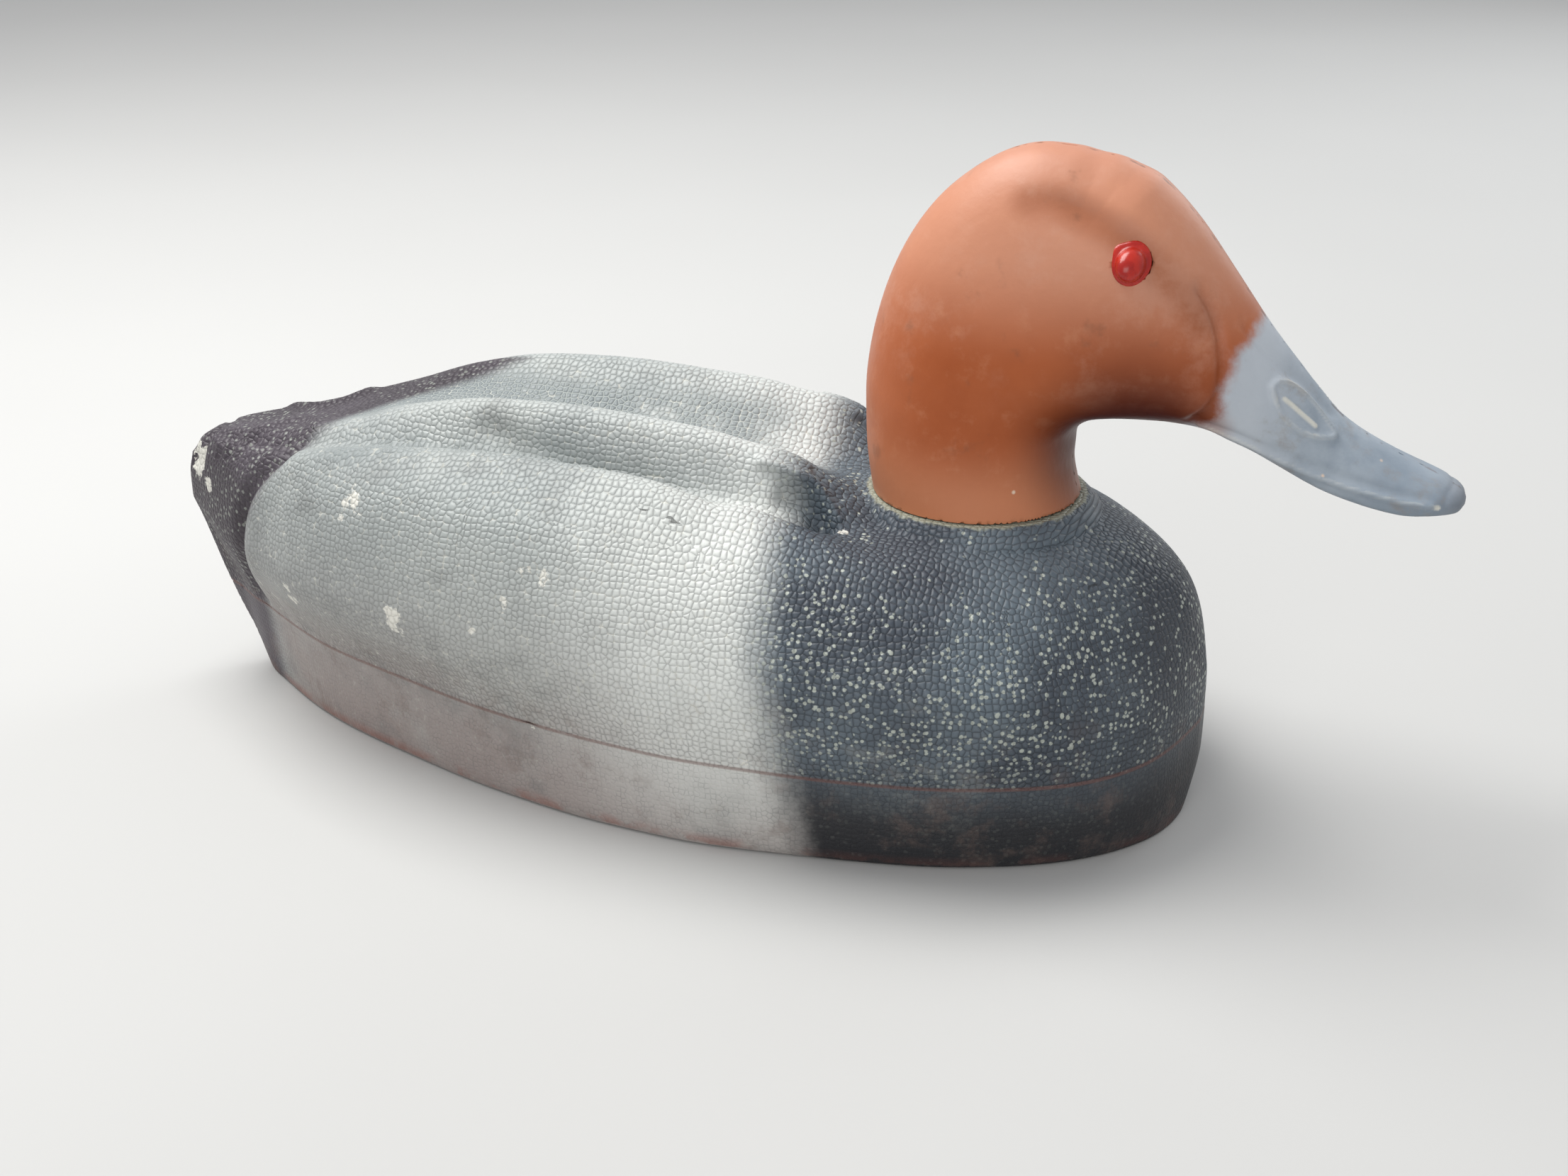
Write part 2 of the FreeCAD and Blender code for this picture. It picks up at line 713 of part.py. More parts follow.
def nut_wing(name, side, bottom):
    """One flat ear of the wing nut: it leans out and down from the hub and ends in a round lobe."""
    reach = size("wing_reach")
    lobe = size("nut_height") * 0.5
    low = bottom - size("wing_drop") + lobe
    ear = doc.addObject("Part::Cylinder", f"nut_{name}_lobe")
    bind(ear, "Radius", lobe)
    bind(ear, "Height", size("wing_thickness"))
    ear.Placement = FreeCAD.Placement(V(0, 0, 0), FreeCAD.Rotation(V(1, 0, 0), -90))
    lobe_x = size("neck_x") + (reach - lobe) * side
    place(ear, lobe_x, size("wing_thickness") * -0.5, low)
    web_length = reach - lobe - size("nut_radius") * 0.6
    web_x = size("neck_x") + (reach - lobe - web_length * 0.5) * side
    web = box(f"nut_{name}_web", web_length, size("wing_thickness"), size("nut_height"),
              web_x, 0, bottom - size("wing_drop") * 0.4)
    return fuse(f"nut_{name}_ear", ear, web)


# ---------------------------------------------------------------- head


def make_head():
    skin = shaped("head_skin", head_solid(len(HEAD_SECTIONS) - 1))
    cavity = shaped(
        "head_cavity", head_solid(CAVITY_LAST_SECTION, mm("head_wall"), CAVITY_FOOT_DROP)
    )
    reach = size("head_height") * 3
    for side, name in ((-1.0, "right"), (1.0, "left")):
        half = box(f"{name}_half_space", reach, reach, reach, size("neck_x"),
                   reach * (0.5 * side), 0)
        stem_hole = eye_cylinder(f"{name}_stem_hole", side, size("eye_stem_radius"),
                                 size("head_wall") * 6)
        seat = eye_cylinder(f"{name}_eye_seat", side, size("eye_radius"),
                            -size("head_wall") * 6)
        cut(f"head_{name}", common(f"{name}_blank", skin, half), cavity, stem_hole, seat)
        make_eye(name, side)
    make_neck_plug(cavity)


def eye_turn(side, inward):
    """The turn that lays a piece's Z axis along Y, into the head or out of it."""
    return FreeCAD.Rotation(V(1, 0, 0), 90 * side * (1 if inward else -1))


def eye_cylinder(name, side, radius, depth):
    """A cylinder on the eye's axis, from its seat into the head, or out of it if depth is negative."""
    inward = depth.value > 0
    item = doc.addObject("Part::Cylinder", name)
    bind(item, "Radius", radius)
    bind(item, "Height", depth if inward else -depth)
    item.Placement = FreeCAD.Placement(V(0, 0, 0), eye_turn(side, inward))
    place(item, size("eye_x"), size("eye_seat_y") * side, size("eye_z"))
    return item


def make_eye(name, side):
    """A domed eye on a stem: the dome stands out of its seat and the stem passes through the wall."""
    body, sketch = body_with_sketch(f"eye_{name}", "XZ_Plane")
    radius, bulge = size("eye_radius"), size("eye_bulge")
    stem, length = size("eye_stem_radius"), size("eye_stem_length")
    corners = [
        (0.0, -length), (stem, -length), (stem, 0.0), (radius, 0.0),
        (radius * 0.94, bulge * 0.42), (radius * 0.72, bulge * 0.76),
        (radius * 0.4, bulge * 0.95), (0.0, bulge),
    ]
    polygon(sketch, corners)
    spin = body.newObject("PartDesign::Revolution", f"eye_{name}_turning")
    spin.Profile = sketch
    spin.ReferenceAxis = (sketch, ["V_Axis"])
    spin.Angle = 360.0
    body.Placement = FreeCAD.Placement(V(0, 0, 0), eye_turn(side, False))
    place(body, size("eye_x"), size("eye_seat_y") * side, size("eye_z"))


# ---------------------------------------------------------------- ballast


def make_ballast():
    fit = size("ballast_fit")
    cover_top = size("cover_thickness")
    box("ballast_bar", size("slot_length") - fit * 2, size("slot_width") - fit * 2,
        size("slot_roof_z") - cover_top - fit, size("ballast_x"), 0, cover_top)

    board = box("cover_board", size("cover_length"), size("cover_width"), cover_top,
                size("ballast_x"), 0, 0)
    holes = []
    for name, side in (("aft", -0.5), ("fore", 0.5)):
        holes.append(screw_shape(f"{name}_screw_hole", side))
    cut("ballast_cover", board, *holes)

    fuse("cover_screws", screw_shape("aft_screw", -0.5), screw_shape("fore_screw", 0.5))
    anchors = [screw_anchor(name, side) for name, side in (("aft", -0.5), ("fore", 0.5))]
    fuse("screw_anchors", *anchors)


def screw_shape(name, side):
    head = cone(f"{name}_head", size("screw_head_radius"), size("screw_radius"),
                size("screw_head_height"), screw_x(side))
    shank = cylinder(f"{name}_shank", size("screw_radius"), size("screw_tip_z"), screw_x(side))
    return fuse(name, head, shank)


def screw_anchor(name, side):
    cover_top = size("cover_thickness")
    plug = cylinder(f"{name}_anchor_plug", size("anchor_radius"),
                    size("anchor_top_z") - cover_top, screw_x(side), 0, cover_top)
    bore = cylinder(f"{name}_anchor_bore", size("screw_radius"), size("screw_tip_z"),
                    screw_x(side))
    return cut(f"{name}_anchor", plug, bore)


# ---------------------------------------------------------------- tie point for the anchor line


def make_line_tie():
    radius, wall, height = size("cup_radius"), size("cup_wall"), size("cup_height")
    inner = radius - wall
    corners = [(inner, 0.0), (radius, 0.0), (radius, height), (0.0, height),
               (0.0, height - wall), (inner, height - wall)]
    blank = turned("line_cup_blank", corners, size("tie_x"), 0, 0)
    crossbar_hole = cross_pin("cup_crossbar_hole", size("crossbar_radius"),
                              size("crossbar_length"), size("tie_x"), size("crossbar_z"))
    cut("line_cup", blank, crossbar_hole)
    cross_pin("line_crossbar", size("crossbar_radius"), size("crossbar_length"), size("tie_x"),
              size("crossbar_z"))


# ---------------------------------------------------------------- build, check and write

NODES = [
    "body_upper", "body_lower", "alignment_dowels", "neck_seat", "friction_washer", "bolt_sleeve",
    "clamp_plate", "ballast_bar", "ballast_cover", "cover_screws", "screw_anchors", "line_cup",
    "line_crossbar", "head_left", "head_right", "eye_left", "eye_right", "neck_plug", "head_bolt",
    "plain_washer", "lock_washer", "wing_nut",
]


def check(item):
    if "Invalid" in item.State or "Error" in item.State:
        raise RuntimeError(f"{item.Name} did not recompute: {item.State}")


def write_nodes():
    os.makedirs("parts", exist_ok=True)
    shapes = {}
    for name in NODES:
        item = doc.getObject(name)
        item.Label = name
        shape = item.Shape
        if shape.isNull() or not shape.isValid() or not shape.Solids:
            raise RuntimeError(f"{name} has no valid solid")
        shapes[name] = shape
    for name, shape in shapes.items():
        shape.exportStep(os.path.join("parts", f"{name}.step"))
        bounds = shape.BoundBox
        print(f"{name}: {len(shape.Solids)} solid(s), {shape.Volume / 1000:.2f} cm3, "
              f"x {bounds.XMin:.1f}..{bounds.XMax:.1f}, y {bounds.YMin:.1f}..{bounds.YMax:.1f}, "
              f"z {bounds.ZMin:.1f}..{bounds.ZMax:.1f}")


make_foam_body()
make_dowels()
make_neck_seat()
make_bolt_sleeve()
make_clamp_plate()
make_head_bolt()
make_head()
make_washers()
make_wing_nut()
make_ballast()
make_line_tie()
doc.recompute()
for item in doc.Objects:
    check(item)
write_nodes()
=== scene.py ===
"""Looks of the floating duck decoy: sprayed bead-foam hull, moulded plastic head, eyes and hardware."""

import math

import bmesh
import bpy
import numpy as np
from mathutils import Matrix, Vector
from mathutils.bvhtree import BVHTree
from mathutils.kdtree import KDTree


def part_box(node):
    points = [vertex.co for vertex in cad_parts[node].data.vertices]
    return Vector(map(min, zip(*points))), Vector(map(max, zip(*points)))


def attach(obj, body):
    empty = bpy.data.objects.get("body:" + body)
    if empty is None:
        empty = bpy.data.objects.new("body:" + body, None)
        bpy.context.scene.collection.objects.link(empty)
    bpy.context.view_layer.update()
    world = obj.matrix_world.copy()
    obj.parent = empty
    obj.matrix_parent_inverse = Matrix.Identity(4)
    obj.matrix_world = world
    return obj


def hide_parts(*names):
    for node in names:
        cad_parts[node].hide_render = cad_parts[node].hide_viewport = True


MM = 0.001

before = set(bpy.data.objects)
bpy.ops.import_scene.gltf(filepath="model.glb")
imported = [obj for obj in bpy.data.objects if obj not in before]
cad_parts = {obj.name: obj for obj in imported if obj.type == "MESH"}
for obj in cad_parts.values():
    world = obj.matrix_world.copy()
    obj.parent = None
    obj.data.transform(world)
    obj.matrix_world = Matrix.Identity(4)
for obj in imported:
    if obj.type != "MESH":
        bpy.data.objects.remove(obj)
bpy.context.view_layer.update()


# Camera and lights


def add_camera(place, target, lens):
    data = bpy.data.cameras.new("camera")
    data.lens = lens
    data.sensor_width = 36
    data.clip_start = 0.01
    data.clip_end = 20
    camera = bpy.data.objects.new("camera", data)
    camera.location = place
    camera.rotation_euler = (Vector(target) - Vector(place)).to_track_quat("-Z", "Y").to_euler()
    bpy.context.scene.collection.objects.link(camera)
    bpy.context.scene.camera = camera


def add_light(name, place, target, size, power, colour):
    data = bpy.data.lights.new(name, "AREA")
    data.shape = "RECTANGLE"
    data.size, data.size_y = size
    data.energy = power
    data.color = colour
    light = bpy.data.objects.new(name, data)
    light.location = place
    light.rotation_euler = (Vector(target) - Vector(place)).to_track_quat("-Z", "Y").to_euler()
    bpy.context.scene.collection.objects.link(light)


# place and target in metres and lens in mm, from a program that fitted them to the outline in the photo
CAMERA_PLACE = (0.1882, -0.5647, 0.3144)
CAMERA_TARGET = (0.0047, 0, 0.050)
CAMERA_LENS = 49.45

add_camera(CAMERA_PLACE, CAMERA_TARGET, CAMERA_LENS)
add_light("overhead", (-0.55, 0.15, 1.15), (0, 0, 0.05), (0.9, 0.8), 18, (1.0, 0.99, 0.97))
add_light("front_fill", (0.2, -1.7, 0.9), (0, 0, 0.06), (1.2, 0.9), 8.5, (1.0, 0.985, 0.96))
add_light("rear_fill", (0.6, 1.2, 0.7), (0, 0, 0.08), (0.8, 0.8), 4, (0.95, 0.98, 1.0))
bpy.context.scene.view_settings.view_transform = "Standard"


# Shader building


class Nodes:
    """A material's node tree, with one short method for each kind of step."""

    def __init__(self, name):
        self.material = bpy.data.materials.new(name)
        self.material.use_nodes = True
        self.tree = self.material.node_tree
        self.bsdf = self.tree.nodes["Principled BSDF"]
        self.place = self.node("ShaderNodeTexCoord").outputs["Object"]

    def node(self, kind, **settings):
        made = self.tree.nodes.new(kind)
        for key, value in settings.items():
            setattr(made, key, value)
        return made

    def put(self, socket, value):
        if isinstance(value, bpy.types.NodeSocket):
            self.tree.links.new(value, socket)
        else:
            socket.default_value = value

    def math(self, kind, first, second=0.0, third=0.0):
        made = self.node("ShaderNodeMath", operation=kind)
        for socket, value in zip(made.inputs, (first, second, third)):
            self.put(socket, value)
        return made.outputs[0]

    def times(self, *values):
        product = values[0]
        for value in values[1:]:
            product = self.math("MULTIPLY", product, value)
        return product

    def plus(self, *values):
        total = values[0]
        for value in values[1:]:
            total = self.math("ADD", total, value)
        return total

    def minus(self, first, second):
        return self.math("SUBTRACT", first, second)

    def swing(self, value, size):
        """A value from 0 to 1 spread evenly about 0, a size from end to end."""
        return self.math("MULTIPLY_ADD", value, size, -size / 2)

    def stored(self, name, output="Fac"):
        return self.node("ShaderNodeAttribute", attribute_name=name).outputs[output]

    def dots(self, scale):
        """Scattered cells: how far a place is from its cell's middle, and a colour for the cell."""
        made = self.node_with(
            "ShaderNodeTexVoronoi",
            {"feature": "F1", "voronoi_dimensions": "3D"},
            Vector=self.place,
            Scale=scale,
            Randomness=1.0,
        )
        return made.outputs

    def vector(self, kind, first, second=(0, 0, 0), scale=None):
        made = self.node("ShaderNodeVectorMath", operation=kind)
        self.put(made.inputs[0], first)
        self.put(made.inputs[1], second)
        if scale is not None:
            self.put(made.inputs["Scale"], scale)
        return made.outputs["Value" if kind in ("LENGTH", "DISTANCE", "DOT_PRODUCT") else "Vector"]

    def axes(self, vector):
        return self.node_with("ShaderNodeSeparateXYZ", Vector=vector).outputs

    def node_with(self, kind, settings=None, **inputs):
        made = self.node(kind, **(settings or {}))
        for key, value in inputs.items():
            self.put(made.inputs[key.replace("_", " ")], value)
        return made

    def noise(self, scale, detail=3.0, roughness=0.55):
        made = self.node_with(
            "ShaderNodeTexNoise",
            Vector=self.place,
            Scale=scale,
            Detail=detail,
            Roughness=roughness,
            Distortion=0.0,
        )
        return made.outputs["Fac"]

    def ramp(self, value, low, high):
        """0 below low, 1 above high and a smooth step between; low may be above high."""
        made = self.node("ShaderNodeMapRange", interpolation_type="SMOOTHSTEP")
        self.put(made.inputs["Value"], value)
        if low < high:
            ends = (low, high, 0.0, 1.0)
        else:
            ends = (high, low, 1.0, 0.0)
        for socket, end in zip(list(made.inputs)[1:5], ends):
            self.put(socket, end)
        return made.outputs["Result"]

    def mix(self, amount, first, second):
        """The first colour, turning into the second as the amount goes from 0 to 1."""
        made = self.node("ShaderNodeMix", data_type="RGBA")
        self.put(made.inputs[0], amount)
        for socket, colour in ((made.inputs[6], first), (made.inputs[7], second)):
            self.put(socket, colour if isinstance(colour, bpy.types.NodeSocket) else (*colour, 1))
        return made.outputs[2]

    def value_mix(self, amount, first, second):
        made = self.node("ShaderNodeMix", data_type="FLOAT")
        for n, value in ((0, amount), (2, first), (3, second)):
            self.put(made.inputs[n], value)
        return made.outputs[0]

    def near(self, spot, radius, edge=0.35):
        """1 at a spot in millimetres, falling to 0 at the radius."""
        away = self.vector("DISTANCE", self.place, tuple(c * MM for c in spot))
        return self.ramp(away, radius * MM, radius * edge * MM)

    def bump(self, height, distance, strength=1.0, normal=None):
        made = self.node_with("ShaderNodeBump", Strength=strength, Distance=distance, Height=height)
        if normal:
            self.put(made.inputs["Normal"], normal)
        return made.outputs["Normal"]

    def finish(self, colour, roughness, normal=None, **fixed):
        self.put(self.bsdf.inputs["Base Color"], colour)
        self.put(self.bsdf.inputs["Roughness"], roughness)
        if normal:
            self.put(self.bsdf.inputs["Normal"], normal)
        for key, value in fixed.items():
            self.bsdf.inputs[key.replace("_", " ")].default_value = value
        return self.material


def srgb(red, green, blue):
    """A linear colour from 8-bit display values."""

    def linear(c):
        return ((c / 255 + 0.055) / 1.055) ** 2.4 if c > 10 else c / 255 / 12.92

    return tuple(linear(c) for c in (red, green, blue))


# Denser copies of the CAD skins, and the moves that shape them


def dense_copy(name, node, voxel):
    """A copy of a CAD node's mesh with even quads of about the voxel's size."""
    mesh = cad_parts[node].data.copy()
    shape = bmesh.new()
    shape.from_mesh(mesh)
    bmesh.ops.remove_doubles(shape, verts=shape.verts, dist=1e-6)
    shape.to_mesh(mesh)
    shape.free()
    rough = bpy.data.objects.new(name + "_rough", mesh)
    bpy.context.scene.collection.objects.link(rough)
    remesh = rough.modifiers.new("remesh", "REMESH")
    remesh.mode = "VOXEL"
    remesh.voxel_size = voxel
    remesh.adaptivity = 0
    graph = bpy.context.evaluated_depsgraph_get()
    dense = bpy.data.meshes.new_from_object(rough.evaluated_get(graph))
    bpy.data.objects.remove(rough)
    dense.name = name
    dense.materials.clear()
    snap_to(dense, mesh, voxel)
    for polygon in dense.polygons:
        polygon.use_smooth = True
    piece = bpy.data.objects.new(name, dense)
    bpy.context.scene.collection.objects.link(piece)
    return piece


def snap_to(dense, exact, voxel):
    """Puts the remeshed points back on the CAD skin, and those beside a sharp edge on that edge."""
    skin = BVHTree.FromPolygons([v.co for v in exact.vertices], [p.vertices for p in exact.polygons])
    corners = sharp_edge_places(exact, voxel / 3)
    edges = KDTree(len(corners))
    for n, corner in enumerate(corners):
        edges.insert(corner, n)
    edges.balance()
    points = points_of(dense)
    for n, point in enumerate(points):
        corner, _, away = edges.find(Vector(point))
        if away < voxel * 0.62:
            points[n] = corner
            continue
        found = skin.find_nearest(Vector(point), voxel)[0]
        if found:
            points[n] = found
    set_points(dense, points)
    join_collapsed(dense, voxel / 60)
    dense.set_sharp_from_angle(angle=math.radians(48))


def join_collapsed(mesh, reach):
    """Joins points that ended in one place, and takes away the faces with no area that this leaves."""
    shape = bmesh.new()
    shape.from_mesh(mesh)
    bmesh.ops.remove_doubles(shape, verts=shape.verts, dist=reach)
    bmesh.ops.dissolve_degenerate(shape, edges=shape.edges, dist=reach)
    flaps = [face for face in shape.faces if any(len(edge.link_faces) == 1 for edge in face.edges)]
    while flaps:
        bmesh.ops.delete(shape, geom=flaps, context="FACES")
        flaps = [face for face in shape.faces if all(len(edge.link_faces) == 1 for edge in face.edges)]
    holes = [edge for edge in shape.edges if len(edge.link_faces) == 1]
    bmesh.ops.holes_fill(shape, edges=holes, sides=0)
    loose = [vertex for vertex in shape.verts if not vertex.link_faces]
    bmesh.ops.delete(shape, geom=loose, context="VERTS")
    open_edges = sum(len(edge.link_faces) != 2 for edge in shape.edges)
    print(mesh.name, "edges without two faces:", open_edges)
    shape.to_mesh(mesh)
    shape.free()


def sharp_edge_places(exact, spacing):
    """Places along the edges where the CAD skin turns by more than 35 degrees."""
    shape = bmesh.new()
    shape.from_mesh(exact)
    places = []
    for edge in shape.edges:
        if len(edge.link_faces) == 2 and edge.calc_face_angle() > math.radians(35):
            start, end = edge.verts[0].co, edge.verts[1].co
            count = max(1, int(edge.calc_length() / spacing))
            places += [start.lerp(end, n / count) for n in range(count + 1)]
    shape.free()
    return places


def points_of(mesh):
    flat = np.empty(len(mesh.vertices) * 3, np.float32)
    mesh.vertices.foreach_get("co", flat)
    return flat.reshape(-1, 3).astype(float)


def normals_of(mesh):
    flat = np.empty(len(mesh.vertices) * 3, np.float32)
    mesh.vertex_normals.foreach_get("vector", flat)
    return flat.reshape(-1, 3).astype(float)


def set_points(mesh, points):
    mesh.vertices.foreach_set("co", points.astype(np.float32).ravel())
    mesh.update()


def smooth(edge_low, edge_high, value):
    t = np.clip((value - edge_low) / (edge_high - edge_low), 0, 1)
    return t * t * (3 - 2 * t)


def line_distance(points, line):
    """Each point's distance to a polyline in the same unit, and how far along it that is, 0 to 1."""
    line = np.array(line, float)
    lengths = np.linalg.norm(np.diff(line, axis=0), axis=1)
    total = lengths.sum()
    best = np.full(len(points), 1e9)
    along = np.zeros(len(points))
    passed = 0.0
    for start, end, length in zip(line, line[1:], lengths):
        run = (end - start) / length
        t = np.clip((points - start) @ run, 0, length)
        gap = np.linalg.norm(points - start - t[:, None] * run, axis=1)
        nearer = gap < best
        best[nearer] = gap[nearer]
        along[nearer] = ((passed + t) / total)[nearer]
        passed += length
    return best, along


def nearest_on(points, line):
    """The nearest place to each point on a polyline."""
    line = np.array(line, float)
    best = np.full(len(points), 1e9)
    places = np.zeros_like(points)
    for start, end in zip(line, line[1:]):
        t = np.clip((points - start) @ (end - start) / ((end - start) @ (end - start)), 0, 1)
        on_line = start + t[:, None] * (end - start)
        gap = np.linalg.norm(points - on_line, axis=1)
        nearer = gap < best
        best[nearer] = gap[nearer]
        places[nearer] = on_line[nearer]
    return places


def curve_through(line, steps=6):
    """A smooth line in mm through the given points (Catmull-Rom)."""
    line = [np.array(p, float) for p in line]
    line = [2 * line[0] - line[1], *line, 2 * line[-1] - line[-2]]
    out = []
    for a, b, c, d in zip(line, line[1:], line[2:], line[3:]):
        for n in range(steps):
            t = n / steps
            bend = (2 * a - 5 * b + 4 * c - d) * t**2 + (3 * b - a - 3 * c + d) * t**3
            out.append(0.5 * (2 * b + (c - a) * t + bend))
    out.append(line[-2])
    return out


def on_skin(node, line):
    """A smooth line in mm through the given points, laid on a CAD node's skin."""
    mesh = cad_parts[node].data
    skin = BVHTree.FromPolygons([v.co for v in mesh.vertices], [p.vertices for p in mesh.polygons])
    return [np.array(skin.find_nearest(Vector(p) * MM)[0]) / MM for p in curve_through(line)]


def crease(points, line, width, depth, ends=0.12):
    """How far in, in mm, a smooth channel along a line presses each point; a ridge has a negative depth."""
    gap, along = line_distance(points, line)
    fade = smooth(0, ends, along) * smooth(0, ends, 1 - along) if ends else 1.0
    return depth * np.exp(-((gap / width) ** 2)) * fade


def press(piece, channels, mirrored=True, core=None):
    """Moves the skin in along its normals by the sum of the channels, on both sides of the centre plane.
    Skin on the centre plane stays on it, so two halves still meet. With a core line, only skin that faces
    away from the line moves, so a hollow shell's inside stays."""
    mesh = piece.data
    points = points_of(mesh) / MM
    normals = normals_of(mesh)
    folded = points.copy()
    if mirrored:
        folded[:, 1] = -np.abs(folded[:, 1])
    total = np.zeros(len(points))
    for channel in channels:
        total += channel(folded)
    flat = np.abs(points[:, 1]) < 0.5
    normals[flat, 1] = 0
    normals[flat] /= np.linalg.norm(normals[flat], axis=1)[:, None] + 1e-9
    if core:
        total *= np.einsum("ij,ij->i", points - nearest_on(points, core), normals) > 0
    set_points(mesh, (points - normals * total[:, None]) * MM)


def push(piece, line, width, shift):
    """Moves a hollow shell's wall, inside and out, by up to a shift in mm near a line."""
    points = points_of(piece.data) / MM
    amount = crease(points * [1, 0, 1], np.array(line) * [1, 0, 1], width, 1.0, 0.4)
    set_points(piece.data, (points + amount[:, None] * np.array(shift)) * MM)


# The hull

# The wing, flank and tail lines are in mm on the hull's right side. Nearly all of WING_RIM and some points of
# the others are within 1.5 mm of another program's output, which cast places picked by eye in the photo on to
# the CAD skin. The rest are farther from them.
WING_RIM = [
    (4, -29, 102), (13, -29.2, 100.3), (18.4, -28.9, 98.6), (23.5, -28.6, 95.5), (28.6, -31, 90),
    (33, -35, 86),
]
WING_FACE = [(12, -35.5, 95.5), (20.8, -33.5, 92.5), (25.5, -34.5, 89), (31, -38, 85.5)]
WING_FAR = [(18, -23.5, 97), (25, -23, 93.5), (31, -24.5, 90.5)]
WING_GROOVE = [
    (-86, -28, 104), (-64, -32.6, 99.4), (-40, -35.5, 96), (-22, -37, 95), (-7, -42, 94.5),
    (8, -48, 92),
]
WING_CREST = [
    (-124, -9, 97), (-104, -19, 103), (-84, -23, 107), (-44, -25.4, 108), (-15, -26, 106.5),
    (4, -27.5, 103),
]
FLANK_CREST = [
    (-146, -36, 83), (-133, -37, 90), (-105, -39, 95), (-70, -42, 97), (-36, -46, 98),
    (-10, -52, 95.5), (5, -56, 92),
]
FLANK_END = [
    (-160, -19, 26), (-161, -24, 41), (-158.5, -30, 52), (-158, -33, 62), (-154, -34, 72),
    (-145, -34, 82), (-132, -32, 90),
]
TAIL_EDGE = [(-186, -5, 79), (-173, -15, 80.5), (-163, -11, 86), (-148, -8, 90.5), (-136, -22, 91)]
TAIL_TIP = [(-190, -14, 70), (-186, -9, 77), (-181, 0, 80)]


def moved(line, dx=0, dy=0, dz=0):
    return [(x + dx, y + dy, z + dz) for x, y, z in line]


def hull_channels():
    shapes = [
        (WING_RIM, 1.7, -2.4),
        (WING_FACE, 3.2, 4.0),
        (WING_FAR, 3.2, 1.8),
        (WING_GROOVE, 4.2, 2.0),
        (WING_CREST, 6, -0.9),
        (FLANK_CREST, 5, -0.9),
        (moved(FLANK_END, -5, 4), 3.6, 2.8),
        (moved(FLANK_END, 3, -3), 4.5, -1.3),
        (TAIL_EDGE, 1.8, -1.2),
        (TAIL_TIP, 1.6, 1.2),
    ]
    for n in range(7):
        start = (-180 + 5.6 * n, -17.5 - 1.9 * n, 75.5 + 0.9 * n)
        end = (-172 + 5.6 * n, -10 - 1.6 * n, 81.5 + 0.9 * n)
        shapes.append(([start, end], 1.15, 1.0, 0.3))
    return [channel("body_upper", *shape) for shape in shapes]


def channel(node, line, width, depth, ends=0.12):
    laid = on_skin(node, line)
    return lambda points: crease(points, laid, width, depth, ends)


def chips(points):
    """Broken foam at the tail tip and small dents in the flank."""
    pressed = np.zeros(len(points))
    for spot, radius, depth in (
        ((-193, -6, 72), 6, 2.2),
        ((-110, -53.5, 84), 6, 0.5),
        ((-45.3, -69.5, 76), 5, 0.5),
        ((-50.6, -66, 26), 3, 0.9),
        ((17.5, -74.2, 31.5), 2.2, 0.8),
    ):
        gap = np.linalg.norm(points - np.array(spot), axis=1)
        pressed += depth * np.exp(-((gap / radius) ** 2) * 2)
    return pressed


FLAT_FROM = 0.022  # metres in from the outline where the bead pattern stops going round the side
TOP_LEAN = 0.35  # how much of the way in from the outline counts as height in the pattern
RING_HEIGHT = 0.012  # metres above the seam where the outline is read
RING_BAND = 0.008  # metres above and below that height


def wrap_foam(mesh):
    """Stores where each point is round the hull's side and up it, in metres, and how level the skin is."""
    points = points_of(mesh)
    outline = hull_outline()
    gap, along = line_distance(points * [1, 0, 0] + np.abs(points) * [0, 1, 0], outline)
    total = np.linalg.norm(np.diff(np.array(outline), axis=0), axis=1).sum()
    round_side = np.where(gap > FLAT_FROM, points[:, 0], along * total * np.sign(points[:, 1]))
    up = points[:, 2] + TOP_LEAN * gap
    where = np.stack([round_side, up, np.zeros(len(points))], axis=1)
    layer = mesh.attributes.new("wrap", "FLOAT_VECTOR", "POINT")
    layer.data.foreach_set("vector", where.astype(np.float32).ravel())
    level = mesh.attributes.new("level", "FLOAT", "POINT")
    level.data.foreach_set("value", np.abs(normals_of(mesh)[:, 2]).astype(np.float32))


def hull_outline():
    """The hull's plan outline on one side, bow to stern, in metres, read from the CAD just above the seam."""
    low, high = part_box("body_upper")
    points = points_of(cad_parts["body_upper"].data)
    ring = points[np.abs(points[:, 2] - low.z - RING_HEIGHT) < RING_BAND]
    edges = np.linspace(low.x, high.x, 60)
    outline = []
    for start, end in zip(edges, edges[1:]):
        inside = ring[(ring[:, 0] >= start) & (ring[:, 0] < end)]
        if len(inside):
            outline.append(((start + end) / 2, np.abs(inside[:, 1]).max(), 0.0))
    return [(high.x, 0.0, 0.0), *outline[::-1], (outline[0][0] - 0.001, 0.0, 0.0)]


def beads(t, per_metre):
    """How far a place is from its bead's middle and from the nearest gap, in bead widths.
    The pattern wraps round the side and lies flat on the top."""
    wobble = t.node_with("ShaderNodeTexNoise", Vector=t.place, Scale=45.0, Detail=1.0).outputs["Color"]
    shift = t.vector("SCALE", wobble, scale=0.0016)
    side = t.stored("wrap", "Vector")
    on_top = t.math("GREATER_THAN", t.plus(t.stored("level"), t.swing(t.noise(130, 1), 0.2)), 0.74)
    found = []
    for feature in ("F1", "DISTANCE_TO_EDGE"):
        both = [
            t.node_with(
                "ShaderNodeTexVoronoi",
                {"feature": feature, "voronoi_dimensions": "2D"},
                Vector=t.vector("ADD", place, shift),
                Scale=per_metre,
                Randomness=0.62,
            ).outputs["Distance"]
            for place in (side, t.place)
        ]
        found.append(t.value_mix(on_top, *both))
    return found


